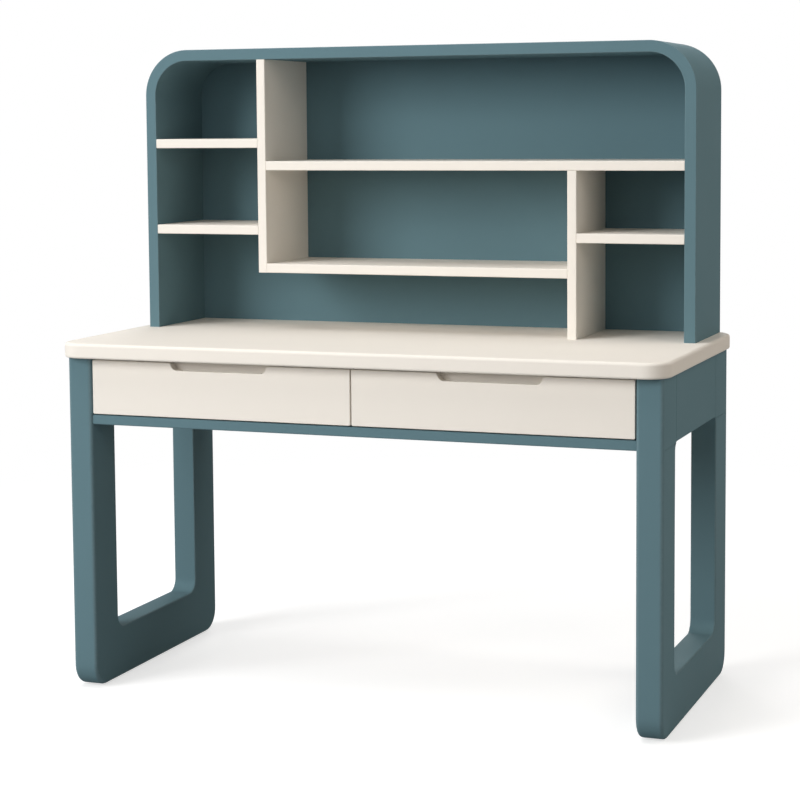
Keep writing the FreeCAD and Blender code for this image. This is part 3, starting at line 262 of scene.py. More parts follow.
def carried(profile: Array, crown: Array, origin: Array, outward: Array) -> Rings:
    """Profile carried along a path in a plane across Y.

    Each point is origin + a * outward + y * (0, 1, 0), with (a, y) from the profile.

    Args:
        profile: Points (a, y) round the section.
        crown: Rim value of each profile point.
        origin: Path points (x, z).
        outward: Unit directions (x, z) that a runs along.

    Returns:
        One ring for each path point.
    """
    flat = origin[:, None, :] + profile[:, :1] * outward[:, None, :]
    points = placed(flat, profile[:, 1], Plane.FRONT)
    return Rings(points, np.repeat(crown[None, :], len(origin), axis=0))


def without_repeats(indices: Array) -> Array:
    """Indices round a face with neighbours that are the same point taken once."""
    return indices[indices != np.roll(indices, 1)]


def corner_table(loops: Array, counts: Array) -> tuple[Array, Array, Array]:
    """Looks up what lies next to each face corner.

    Args:
        loops: Vertex of each face corner, face after face.
        counts: Number of corners of each face.

    Returns:
        Each corner's face, the first vertex of that face and the vertex after the corner.
    """
    face = np.repeat(np.arange(len(counts)), counts)
    start = (np.cumsum(counts) - counts)[face]
    step = np.arange(len(loops)) - start
    return face, loops[start], loops[start + (step + 1) % counts[face]]


def corner_normals(points: Array, loops: Array, counts: Array) -> Array:
    """Normal at each face corner: the area-weighted mean of the faces round its vertex.

    Faces that lean more than the smoothing angle from the corner's own face are left out, so
    flat faces stay flat, rounds stay round and sharp edges stay sharp. The corners are sorted
    by vertex, and each one is paired with every corner at its vertex, itself included.

    Args:
        points: Vertex places.
        loops: Vertex of each face corner, face after face.
        counts: Number of corners of each face.

    Returns:
        Unit normals of the shape (corners, 3).
    """
    face, _, after = corner_table(loops, counts)
    area = np.zeros((len(counts), 3))
    np.add.at(area, face, np.cross(points[loops], points[after]))
    normal = area / np.maximum(np.linalg.norm(area, axis=1, keepdims=True), LEAST_LENGTH)
    order = np.argsort(loops, kind="stable")
    _, first, amount = np.unique(loops[order], return_index=True, return_counts=True)
    meeting = np.repeat(amount, amount)
    near = np.repeat(np.arange(len(order)), meeting)
    reach = np.arange(len(near)) - np.repeat(np.cumsum(meeting) - meeting, meeting)
    far = np.repeat(first, amount)[near] + reach
    own = face[order[near]]
    other = face[order[far]]
    alike = np.sum(normal[own] * normal[other], axis=1) > SMOOTH_COSINE
    summed = np.zeros((len(loops), 3))
    np.add.at(summed, order[near], area[other] * alike[:, None])
    return summed / np.maximum(np.linalg.norm(summed, axis=1, keepdims=True), LEAST_LENGTH)


def linked(thing: bpy.types.Object) -> bpy.types.Object:
    """Links a new object to the scene."""
    bpy.context.scene.collection.objects.link(thing)
    return thing


def solid(name: str, rings: Rings) -> bpy.types.Object:
    """Closed mesh object from rings, skinned with quads and capped at both ends.

    Args:
        name: Name of the object and its mesh.
        rings: Rings from one end to the other.

    Returns:
        The object, with its faces turned outwards.
    """
    grid = np.arange(rings.rim.size).reshape(rings.rim.shape)
    ahead = np.roll(grid, -1, axis=1)
    quads = np.stack([grid[:-1], ahead[:-1], ahead[1:], grid[1:]], axis=-1).reshape(-1, 4)
    places = rings.points.reshape(-1, 3)
    keys = np.round(places / MERGE_MM).astype(np.int64)
    _, kept, index = np.unique(keys, axis=0, return_index=True, return_inverse=True)
    index = index.reshape(-1)
    blocks = (quads, grid[:1, ::-1], grid[-1:])
    rows = [without_repeats(row) for block in blocks for row in index[block]]
    rows = [row for row in rows if len(row) >= FEWEST_CORNERS]
    counts = np.array([len(row) for row in rows])
    loops = np.concatenate(rows)
    points = places[kept] * MM
    _, hub, after = corner_table(loops, counts)
    volume = np.sum(np.cross(points[loops], points[after]) * points[hub])
    if volume < 0:
        rows = [row[::-1] for row in rows]
        loops = np.concatenate(rows)
    mesh = bpy.data.meshes.new(name)
    mesh.from_pydata(points.tolist(), [], [row.tolist() for row in rows])
    mesh.polygons.foreach_set("use_smooth", np.ones(len(counts), bool))
    rim = mesh.attributes.new(RIM, "FLOAT", "POINT")
    rim.data.foreach_set("value", rings.rim.reshape(-1)[kept].astype(np.float32))
    mesh.update()
    mesh.normals_split_custom_set(corner_normals(points, loops, counts).tolist())
    return linked(bpy.data.objects.new(name, mesh))


# -------- shader nodes


def linear(colour: str, gain: float = 1.0) -> Colour:
    """Turns an sRGB hex colour into a linear one.

    A share c becomes c / 12.92 up to 0.04045, and ((c + 0.055) / 1.055) ** 2.4 above it.

    Args:
        colour: Hash sign and six hex digits.
        gain: Factor on the linear value.

    Returns:
        Linear red, green and blue, and an alpha of 1.
    """
    parts = np.array([int(colour[i : i + 2], 16) for i in (1, 3, 5)]) / 255.0
    value = np.where(parts <= 0.04045, parts / 12.92, ((parts + 0.055) / 1.055) ** 2.4) * gain
    return (float(value[0]), float(value[1]), float(value[2]), 1.0)


def add(
    tree: Tree, kind: str, inputs: dict[str, Any] | Sequence[Any] = (), **settings: Any
) -> Node:
    """Adds a node with its settings, and fills or links its inputs.

    Args:
        tree: Node tree that gets the node.
        kind: Blender's name of the node type.
        inputs: Values by the name of their socket, or in the order of the sockets. A node as
            a value is linked by its first output in use, and an output socket by itself.
        **settings: Properties of the node itself.

    Returns:
        The node.
    """
    node = tree.nodes.new(kind)
    for key, value in settings.items():
        setattr(node, key, value)
    for key, value in inputs.items() if isinstance(inputs, dict) else enumerate(inputs):
        if isinstance(value, bpy.types.Node):
            value = next(socket for socket in value.outputs if socket.enabled)
        if isinstance(value, bpy.types.NodeSocket):
            tree.links.new(value, node.inputs[key])
        else:
            node.inputs[key].default_value = value
    return node


def empty_tree(owner: bpy.types.Material | bpy.types.World) -> Tree:
    """Turns nodes on and removes the ones that come with a new material or world.

    Args:
        owner: The new material or world.

    Returns:
        Its node tree.
    """
    owner.use_nodes = True
    owner.node_tree.nodes.clear()
    return owner.node_tree


def drawn_out(along: Axis, share: float) -> Triple:
    """Scales that draw a pattern out along one axis, to a share of its frequency."""
    return tuple(share if axis is along else 1.0 for axis in Axis)


def pattern(tree: Tree, grain_mm: float, detail: Detail, scales: Triple = (1.0, 1.0, 1.0)) -> Node:
    """Noise in the piece's own coordinates.

    Args:
        tree: Node tree.
        grain_mm: Size of its features.
        detail: How many finer layers it has.
        scales: Factor on its frequency along each axis.

    Returns:
        Node whose first output is the noise, mostly inside NOISE_RANGE.
    """
    place = add(tree, "ShaderNodeTexCoord").outputs["Object"]
    turned = add(tree, "ShaderNodeMapping", {"Vector": place, "Scale": scales})
    inputs = {"Vector": turned, "Scale": 1.0 / (grain_mm * MM), "Detail": float(detail)}
    return add(tree, "ShaderNodeTexNoise", inputs)


def seen_or_cast(tree: Tree, seen: Node, cast: Node) -> Node:
    """Joins what is seen directly with what lights the desk.

    Args:
        tree: Node tree.
        seen: Shader for the camera, reflections and clear pieces.
        cast: Shader for every other ray.

    Returns:
        The joint shader.
    """
    path = add(tree, "ShaderNodeLightPath").outputs
    rays = (path["Is Camera Ray"], path["Is Glossy Ray"])
    either = add(tree, "ShaderNodeMath", rays, operation="MAXIMUM")
    direct = add(tree, "ShaderNodeMath", (either, path["Is Transmission Ray"]), operation="MAXIMUM")
    return add(tree, "ShaderNodeMixShader", (direct, cast, seen))


# -------- finishes


@dataclass(frozen=True)
class Finish:
    """Finish of a surface. Each kind gives its own shading."""

    name: str

    def shading(self, tree: Tree) -> dict[str, Any]:
        """Values or nodes for the shader's inputs, by name."""
        raise NotImplementedError(self.name)

    def build(self) -> bpy.types.Material:
        """Makes the material.

        Returns:
            The material.
        """
        material = bpy.data.materials.new(self.name)
        tree = empty_tree(material)
        shader = add(tree, "ShaderNodeBsdfPrincipled", self.shading(tree))
        add(tree, "ShaderNodeOutputMaterial", {"Surface": shader})
        return material


@dataclass(frozen=True)
class MattLacquer(Finish):
    """Sprayed matt polyurethane lacquer over sanded board.

    To the eye: an even colour with faint clouds where the coat is thicker, a soft sheen that
    wavers a little, the fine orange peel of a spray gun, and edges a shade lighter, partly
    as rubbed wear and partly as a painted highlight.
    """

    colour: str
    # Roughness of the smoothest and of the roughest clouds.
    roughness: Pair = (0.75, 0.81)
    clouds: float = 0.035
    cloud_mm: float = 140.0
    # The real peel is 1 to 2 mm from crest to crest. It is drawn at 5 mm so that it shows.
    peel_mm: float = 5.0
    peel_height_mm: float = 0.012
    # Share of the lighter colour on edge crowns: partly rubbed wear, partly a painted highlight.
    wear_and_highlight: float = 0.03
    wear_and_highlight_colour: str = "#F3F3F1"
    edge_breakup_mm: float = 9.0
    refraction: float = 1.4
    specular: float = 0.2

    def shading(self, tree: Tree) -> dict[str, Any]:
        """Lacquer with clouds, rims lightened as rubbed wear and painted highlight, and orange peel.

        Args:
            tree: The material's nodes.

        Returns:
            Inputs of the shader, by name.
        """
        cloud = pattern(tree, self.cloud_mm, Detail.CLOUDY)
        thick, thin = linear(self.colour, 1.0 - self.clouds), linear(self.colour, 1.0 + self.clouds)
        tone = add(tree, "ShaderNodeMix", {"Factor": cloud, "A": thick, "B": thin}, data_type="RGBA")
        # Edge crowns turn lighter here: partly rubbed wear, partly a painted highlight.
        rim = add(tree, "ShaderNodeAttribute", attribute_name=RIM).outputs["Fac"]
        edge_breakup = pattern(tree, self.edge_breakup_mm, Detail.ROUGH)
        wear_and_highlight_mask = add(tree, "ShaderNodeMath", (rim, edge_breakup), operation="MULTIPLY")
        amount = add(tree, "ShaderNodeMath", (wear_and_highlight_mask, self.wear_and_highlight / NOISE_MEAN), operation="MULTIPLY")
        worn_and_highlit = {"Factor": amount, "A": tone, "B": linear(self.wear_and_highlight_colour)}
        peel = pattern(tree, self.peel_mm, Detail.SMOOTH)
        bump = {"Height": peel, "Distance": self.peel_height_mm * MM}
        return {
            "Base Color": add(tree, "ShaderNodeMix", worn_and_highlit, data_type="RGBA"),
            "Roughness": add(tree, "ShaderNodeMapRange", (cloud, *NOISE_RANGE, *self.roughness)),
            "Normal": add(tree, "ShaderNodeBump", bump),
            "IOR": self.refraction,
            "Specular IOR Level": self.specular,
        }


@dataclass(frozen=True)
class GrainedWood(Finish):
    """Clear-lacquered birch or beech, cut along its grain.

    To the eye: long fine streaks along the grain, slow honey-coloured bands across them, and
    on plywood the light and dark plies that show on the cut edges.
    """

    light: str
    dark: str
    # Axis that the grain runs along, and the one through the board's thickness.
    along: Axis
    through: Axis
    # Thickness of a ply, or 0 for solid wood.
    ply_mm: float = 0.0
    band_mm: float = 26.0
    fibre_mm: float = 1.6
    # How often the pattern changes along the grain, as a share of across it.
    draw: float = 0.04
    # Product of the two patterns where the wood is darkest and where it is lightest.
    streaks: Pair = (0.12, 0.4)
    # How far a face looks through the board when its plies start to fade and when they are gone.
    cut_lean: Pair = (0.5, 0.7)
    # Wave values between which a light ply turns into a dark one.
    ply_turn: Pair = (-0.3, 0.3)
    ply_strength: float = 0.45
    ply_gain: float = 0.6
    bump: float = 0.5
    fibre_height_mm: float = 0.05
    roughness: float = 0.5
    refraction: float = 1.5

    def plies(self, tree: Tree, colour: Node) -> Node:
        """Darkens every other ply where the board is cut across its layers.

        The layers follow sin(pi * depth / ply_mm). They show on faces that look away from
        the axis through the board.

        Args:
            tree: The material's nodes.
            colour: Colour of the wood without plies.

        Returns:
            Colour with plies.
        """
        place = add(tree, "ShaderNodeTexCoord").outputs["Object"]
        depth = add(tree, "ShaderNodeSeparateXYZ", (place,)).outputs[self.through]
        turn = add(tree, "ShaderNodeMath", (depth, math.pi / (self.ply_mm * MM)), operation="MULTIPLY")
        wave = add(tree, "ShaderNodeMath", (turn,), operation="SINE")
        dark = add(tree, "ShaderNodeMapRange", (wave, *self.ply_turn, 0.0, 1.0))
        normal = add(tree, "ShaderNodeNewGeometry").outputs["True Normal"]
        facing = add(tree, "ShaderNodeSeparateXYZ", (normal,)).outputs[self.through]
        lean = add(tree, "ShaderNodeMath", (facing,), operation="ABSOLUTE")
        cut = add(tree, "ShaderNodeMapRange", (lean, *self.cut_lean, self.ply_strength, 0.0))
        amount = add(tree, "ShaderNodeMath", (dark, cut), operation="MULTIPLY")
        inputs = {"Factor": amount, "A": colour, "B": linear(self.dark, self.ply_gain)}
        return add(tree, "ShaderNodeMix", inputs, data_type="RGBA")

    def shading(self, tree: Tree) -> dict[str, Any]:
        """Wood with bands, fibres and, on plywood, plies.

        Args:
            tree: The material's nodes.

        Returns:
            Inputs of the shader, by name.
        """
        scales = drawn_out(self.along, self.draw)
        band = pattern(tree, self.band_mm, Detail.CLOUDY, scales)
        fibre = pattern(tree, self.fibre_mm, Detail.FINE, scales)
        both = add(tree, "ShaderNodeMath", (band, fibre), operation="MULTIPLY")
        streak = add(tree, "ShaderNodeMapRange", (both, *self.streaks, 1.0, 0.0))
        inputs = {"Factor": streak, "A": linear(self.light), "B": linear(self.dark)}
        colour = add(tree, "ShaderNodeMix", inputs, data_type="RGBA")
        if self.ply_mm:
            colour = self.plies(tree, colour)
        bump = {"Height": fibre, "Strength": self.bump, "Distance": self.fibre_height_mm * MM}
        return {
            "Base Color": colour,
            "Roughness": self.roughness,
            "Normal": add(tree, "ShaderNodeBump", bump),
            "IOR": self.refraction,
        }


@dataclass(frozen=True)
class PlatedMetal(Finish):
    """Zinc-plated, die-cast or brass small parts.

    To the eye: a dull metal shine, cloudy from the plating bath, with fine drawing lines
    along the piece.
    """

    colour: str
    # Roughness of the smoothest and of the roughest clouds.
    roughness: Pair
    cloud_mm: float = 18.0
    cloud_gains: Pair = (0.82, 1.1)
    line_mm: float = 0.6
    # How often the lines change along the piece, as a share of across it.
    draw: float = 0.05
    bump: float = 0.4
    line_height_mm: float = 0.02

    def shading(self, tree: Tree) -> dict[str, Any]:
        """Metal with clouds and drawing lines.

        Args:
            tree: The material's nodes.

        Returns:
            Inputs of the shader, by name.
        """
        cloud = pattern(tree, self.cloud_mm, Detail.CLOUDY)
        dull, bright = (linear(self.colour, gain) for gain in self.cloud_gains)
        tone = add(tree, "ShaderNodeMix", {"Factor": cloud, "A": dull, "B": bright}, data_type="RGBA")
        lines = pattern(tree, self.line_mm, Detail.FINE, drawn_out(Axis.Y, self.draw))
        bump = {"Height": lines, "Strength": self.bump, "Distance": self.line_height_mm * MM}
        return {
            "Base Color": tone,
            "Metallic": 1.0,
            "Roughness": add(tree, "ShaderNodeMapRange", (cloud, *NOISE_RANGE, *self.roughness)),
            "Normal": add(tree, "ShaderNodeBump", bump),
        }


@dataclass(frozen=True)
class MouldedNylon(Finish):
    """Moulded nylon of the floor glides.

    To the eye: matte near-black with a fine spark-eroded grain.
    """

    colour: str
    roughness: float = 0.6
    grain_mm: float = 0.8
    grain_gains: Pair = (0.9, 1.2)
    bump: float = 0.5
    grain_height_mm: float = 0.03
    refraction: float = 1.53

    def shading(self, tree: Tree) -> dict[str, Any]:
        """Nylon with its grain.

        Args:
            tree: The material's nodes.

        Returns:
            Inputs of the shader, by name.
        """
        grain = pattern(tree, self.grain_mm, Detail.FINE)
        pit, crest = (linear(self.colour, gain) for gain in self.grain_gains)
        bump = {"Height": grain, "Strength": self.bump, "Distance": self.grain_height_mm * MM}
        return {
            "Base Color": add(
                tree, "ShaderNodeMix", {"Factor": grain, "A": pit, "B": crest}, data_type="RGBA"
            ),
            "Roughness": self.roughness,
            "Normal": add(tree, "ShaderNodeBump", bump),
            "IOR": self.refraction,
        }


@dataclass
class Finishes:
    """Every finish of the desk, made once."""

    kinds: tuple[Finish, ...] = (
        MattLacquer("matt_lacquer_teal", "#5D7981"),
        # The cream's lighter edge crowns are partly rubbed wear and partly a painted highlight.
        MattLacquer("matt_lacquer_cream", "#EBE5DC", roughness=(0.69, 0.75), clouds=0.015, wear_and_highlight=0.04),
        GrainedWood("birch_plywood_sides", *BIRCH, along=Axis.Y, through=Axis.X, ply_mm=1.5),
        GrainedWood("birch_plywood_backs", *BIRCH, along=Axis.X, through=Axis.Y, ply_mm=1.5),
        GrainedWood("birch_plywood_bottoms", *BIRCH, along=Axis.X, through=Axis.Z, ply_mm=1.5),
        GrainedWood("beech", "#CFA777", "#A97B4B", along=Axis.X, through=Axis.Z),
        PlatedMetal("zinc_plated_steel", "#B9BCBE", (0.28, 0.42)),
        PlatedMetal("die_cast_zinc", "#8F9193", (0.44, 0.58)),
        PlatedMetal("brass_strip", "#B98F4A", (0.32, 0.46)),
        MouldedNylon("moulded_nylon", "#2E3031"),
    )
    made: dict[str, bpy.types.Material] = field(default_factory=dict)

    def __post_init__(self) -> None:
        """Makes the materials."""
        for kind in self.kinds:
            self.made[kind.name] = kind.build()

    def of(self, name: str) -> bpy.types.Material:
        """The finish with that name."""
        return self.made[name]


# -------- sub-assemblies


@dataclass(frozen=True)
class Span:
    """Box of a CAD node at rest, in millimetres."""

    low: Array
    high: Array

    @classmethod
    def of(cls, node: str) -> Span:
        """Reads the node's box from the frame."""
        low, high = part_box(node)
        return cls(np.array(low) / MM, np.array(high) / MM)

    def pair(self, axis: Axis) -> Pair:
        """Low and high end along one axis."""
        return float(self.low[axis]), float(self.high[axis])

    def pairs(self) -> tuple[Pair, Pair, Pair]:
        """Low and high end along X, Y and Z."""
        return tuple(self.pair(axis) for axis in Axis)

    def rectangle(self, plane: Plane) -> list[Pair]:
        """The box's outline in that plane, counter-clockwise."""
        (left, right), (bottom, top) = self.pair(plane.value[0]), self.pair(plane.value[1])
        return [(left, bottom), (right, bottom), (right, top), (left, top)]


def plate(node: str, plane: Plane, radii: Sequence[float], rounds: Pair, steps: int) -> Rings:
    """Board in a CAD node's box, with rounded corners and a round along each of its two rims.

    Args:
        node: CAD node.
        plane: Which axes the board's outline and its thickness take.
        radii: Radius at each corner, counter-clockwise from the lowest one.
        rounds: Edge radius at the low and at the high end of the thickness.
        steps: Points on each arc.

    Returns:
        Rings from the low end to the high one.
    """
    span = Span.of(node)
    low, high = span.pair(plane.value[2])
    low_in, low_deep, low_rim = rounded_edge(rounds[0], steps)
    high_in, high_deep, high_rim = rounded_edge(rounds[1], steps)
    inset = np.concatenate([low_in, high_in[::-1]])
    across = np.concatenate([low + low_deep, high - high_deep[::-1]])
    rim = np.concatenate([low_rim, high_rim[::-1]])
    flat, crown = rounded_outline(span.rectangle(plane), radii, inset, steps)
    return Rings(placed(flat, across[:, None], plane), np.maximum(rim[:, None], crown))


@dataclass
class SubAssembly:
    """A group of pieces that share finishes."""

    finishes: Finishes

    def dress(self, piece: bpy.types.Object, node: str, body: str, slot: Slot) -> None:
        """Gives a new piece its finish and its body, and hides the CAD node that it stands for.

        Args:
            piece: The new object.
            node: CAD node that it replaces.
            body: Body that it rides on.
            slot: Material slot of the record, which also says the finish.
        """
        piece.data.materials.append(self.finishes.of(slot.finish))
        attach(piece, body)
        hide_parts(node)
        LOG.info("%s stands for %s on %s, %d faces", piece.name, node, body, len(piece.data.polygons))


@dataclass
class Top(SubAssembly):
    """Cream desk top."""

    corner_radius: float = 50.0
    upper_round: float = 7.0
    lower_round: float = 5.0
    steps: int = 14

    def build(self) -> None:
        """Makes the slab: a rounded rectangle with a full round above and a smaller one below."""
        rounds = (self.lower_round, self.upper_round)
        rings = plate("tabletop", Plane.PLAN, [self.corner_radius] * 4, rounds, self.steps)
        self.dress(solid("desk_top_slab", rings), "tabletop", "desk", Slot.CREAM)


class Course(NamedTuple):
    """Sections of a band in the YZ plane, each from an inner point to an outer one.

    inner and outer hold points (y, z). into and out hold the unit directions there, into
    and out of the wood. inner_round holds the edge radius along the inner line.
    """

    inner: Array
    into: Array
    outer: Array
    out: Array
    inner_round: Array

    def backwards(self) -> Course:
        """The same sections in reverse order."""
        return Course(*(part[::-1] for part in self))

    @staticmethod
    def joined(*courses: Course) -> Course:
        """The sections of several courses, one after the other."""
        return Course(*(np.concatenate(parts) for parts in zip(*courses)))


@dataclass(frozen=True)
class Post:
    """Post of a leg frame: Y of its outer face and of the opening's side, and heights.

    sill is the top of the floor rail, and head is the underside of the apron.
    """

    outer_y: float
    opening_y: float
    floor: float
    sill: float
    head: float
    top: float

    @property
    def way(self) -> float:
        """Sign of the step along Y from the post into the opening."""
        return math.copysign(1.0, self.opening_y - self.outer_y)


def upright(y: float, heights: Array) -> Array:
    """Points (y, z) on an upright line."""
    return np.stack([np.full(len(heights), y), heights], axis=1)


@dataclass
class LegFrame(SubAssembly):
    """Teal U of front post, floor rail and rear post. The apron between the posts is a CAD node."""

    side: Side = Side.RIGHT
    front_post: float = 100.0
    rear_post: float = 108.0
    floor_rail: float = 109.0
    outer_corner: float = 48.0
    inner_corner: float = 28.0
    apron_corner: float = 16.0
    shoulder: float = 7.0
    edge_round: float = 8.0
    opening_round: float = 3.5
    seam_round: float = 1.6
    # Height between the seam's last point and the start of the arc.
    seam_gap: float = 0.4
    apron_height: float = 136.0
    seam_steps: int = 3
    arc_steps: int = 7
    post_steps: int = 5
    corner_steps: int = 24
    edge_steps: int = 7

    def section(self, course: Course, x_span: Pair) -> Rings:
        """Band along a course, with four rounded edges.

        Every section is a rectangle from the inner to the outer line, as wide as x_span. On
        each edge the surface lies r * (1 - cos b) inside the line and r * (1 - sin b) inside
        the side face, with b from 0 on the line's face to a quarter turn on the side face.

        Args:
            course: The band's sections.
            x_span: Low and high X of the band.

        Returns:
            One ring for each section.
        """
        aside, behind, rim = rounded_edge(1.0, self.edge_steps)
        low, high = x_span
        outer_round = np.full(len(course.outer), self.edge_round)
        inner = (course.inner, course.into, course.inner_round)
        outer = (course.outer, -course.out, outer_round)
        edges: list[Array] = []
        for line, inwards, radius in (inner, outer):
            flat = line[:, None, :] + inwards[:, None, :] * (radius[:, None] * behind)[..., None]
            deep = radius[:, None] * aside
            edges += [np.concatenate([x[..., None], flat], axis=-1) for x in (high - deep, low + deep)]
        inner_high, inner_low, outer_high, outer_low = edges
        loop = [inner_high, outer_high[:, ::-1], outer_low, inner_low[:, ::-1]]
        points = np.concatenate(loop, axis=1)
        return Rings(points, np.repeat(np.tile(rim, len(loop))[None, :], len(points), axis=0))

    def seam_arc(self, post: Post) -> tuple[Array, Array]:
        """Opening's upper corner, from the seam of the apron down to the post.

        Args:
            post: Post that the corner belongs to.

        Returns:
            Points (y, z) and the unit directions into the wood.
        """
        radius = self.apron_corner
        start = math.pi - math.acos((radius - self.shoulder) / radius)
        spoke = spokes(start + (math.pi - start) * arc_shares(self.arc_steps)) * [post.way, 1.0]
        return np.array([post.opening_y + post.way * radius, post.head - radius]) + radius * spoke, spoke

    def foot_corner(self, post: Post) -> Course:
        """Bend from post to floor rail: an inner quarter arc against a longer outer line.

        The outer line runs straight down, round its own quarter arc and along the floor. Both
        lines are cut into the same number of steps, the outer one by its length.

        Args:
            post: Post that the bend belongs to.

        Returns:
            Sections from the post to the rail.
        """
        way, small, big = post.way, self.inner_corner, self.outer_corner
        share = arc_shares(self.corner_steps + 1)[1:]
        spoke = spokes(share * QUARTER_TURN) * [-way, -1.0]
        inner = np.array([post.opening_y + way * small, post.sill + small]) + small * spoke
        drop = post.sill + small - post.floor - big
        run = abs(post.opening_y - post.outer_y) + small - big
        bend = big * QUARTER_TURN
        length = share * (drop + bend + run)
        away = spokes(np.clip((length - drop) / bend, 0.0, 1.0) * QUARTER_TURN) * [-way, -1.0]
        outer = np.array([post.outer_y + way * big, post.floor + big]) + big * away
        outer[:, 0] += way * np.maximum(length - drop - bend, 0.0)
        outer[:, 1] += np.maximum(drop - length, 0.0)
        return Course(inner, spoke, outer, away, np.full(self.corner_steps, self.opening_round))

    def half_u(self, post: Post) -> Course:
        """Half of the U, from the post's top down to the end of its bend into the floor rail.

        Args:
            post: The post.

        Returns:
            Sections from the top down.
        """
        arc, spoke = self.seam_arc(post)
        beside = np.linspace(post.top, arc[0, 1] + self.seam_gap, self.seam_steps)
        below = np.linspace(arc[-1, 1], post.sill + self.inner_corner, self.post_steps + 1)[1:]
        seam = upright(post.opening_y + post.way * self.shoulder, beside)
        inner = np.concatenate([seam, arc, upright(post.opening_y, below)])
        away = np.tile([-post.way, 0.0], (len(inner), 1))
        into = away.copy()
        into[len(seam) : len(seam) + len(arc)] = spoke
        rounds = np.linspace(self.seam_round, self.opening_round, len(arc))
        rounds = np.pad(rounds, (len(beside), len(below)), mode="edge")
        straight = Course(inner, into, upright(post.outer_y, inner[:, 1]), away, rounds)
        return Course.joined(straight, self.foot_corner(post))

    def build(self) -> None:
        """Makes the U: down the front post, along the floor and up the rear post."""
        word = self.side.value
        x_span, (front, rear), (floor, top) = Span.of("right_leg_frame").pairs()
        heights = (floor, floor + self.floor_rail, top - self.apron_height, top)
        down = self.half_u(Post(front, front + self.front_post, *heights))
        up = self.half_u(Post(rear, rear - self.rear_post, *heights)).backwards()
        frame = self.section(Course.joined(down, up), x_span).on(self.side)
        self.dress(solid(f"{word}_leg_u", frame), f"{word}_leg_frame", "desk", Slot.TEAL)


@dataclass
class Drawer(SubAssembly):
    """Cream drawer front with its finger notch. The box behind it is made of CAD nodes."""

    side: Side = Side.RIGHT
    corner_round: float = 2.5
    notch_top: float = 219.0
    notch_bottom: float = 206.0
    notch_depth: float = 16.0
    lower_round: float = 14.0
    upper_round: float = 5.0
    edge_round: float = 1.5
    groove_depth: float = 10.0
    groove_drop: float = 12.0
    steps: int = 8

    def face(self) -> Rings:
        """Front panel as rings from its face to its back.

        The outline's notch floor carries four extra points. As far as the lip they lie in
        pairs on the floor. Behind the lip the inner two drop, which makes the groove.

        Returns:
            Rings of the right drawer's front.
        """
        (x0, x1), (y0, y1), (z0, z1) = Span.of("right_drawer_front").pairs()
        middle = (x0 + x1) / 2
        high, low = self.notch_top / 2, self.notch_bottom / 2
        corner, upper, lower = self.corner_round, self.upper_round, self.lower_round
        floor = z1 - self.notch_depth
        before_floor = [(x0, z0, corner), (x1, z0, corner), (x1, z1, corner)]
        before_floor += [(middle + high, z1, upper), (middle + low, floor, lower)]
        after_floor = [(middle - low, floor, lower), (middle - high, z1, upper), (x0, z1, corner)]
        outline = np.array(before_floor + after_floor)
        inset, deep, rim = rounded_edge(self.edge_round, self.steps)
        lip = y1 - self.groove_depth
        behind_edge = [lip, lip, y1]
        flush = np.zeros(len(behind_edge))
        inset = np.concatenate([inset, flush])
        across = np.concatenate([y0 + deep, behind_edge])
        dropped = np.arange(len(across)) > self.steps
        flat, _ = rounded_outline(outline[:, :2], outline[:, 2], inset, self.steps)
        level = floor - inset
        drop = level - self.groove_drop * dropped
        groove_x = middle + (low - lower) * np.array([1.0, 1.0, -1.0, -1.0])
        groove_z = np.stack([level, drop, drop, level], axis=1)
        groove = np.stack([np.broadcast_to(groove_x, groove_z.shape), groove_z], axis=-1)
        at = len(before_floor) * self.steps
        flat = np.concatenate([flat[:, :at], groove, flat[:, at:]], axis=1)
        rims = np.repeat(np.concatenate([rim, flush])[:, None], flat.shape[1], axis=1)
        return Rings(placed(flat, across[:, None], Plane.FRONT), rims)

    def build(self) -> None:
        """Makes the front."""
        word = self.side.value
        piece = solid(f"{word}_drawer_face", self.face().on(self.side))
        self.dress(piece, f"{word}_drawer_front", f"{word}_drawer", Slot.CREAM)


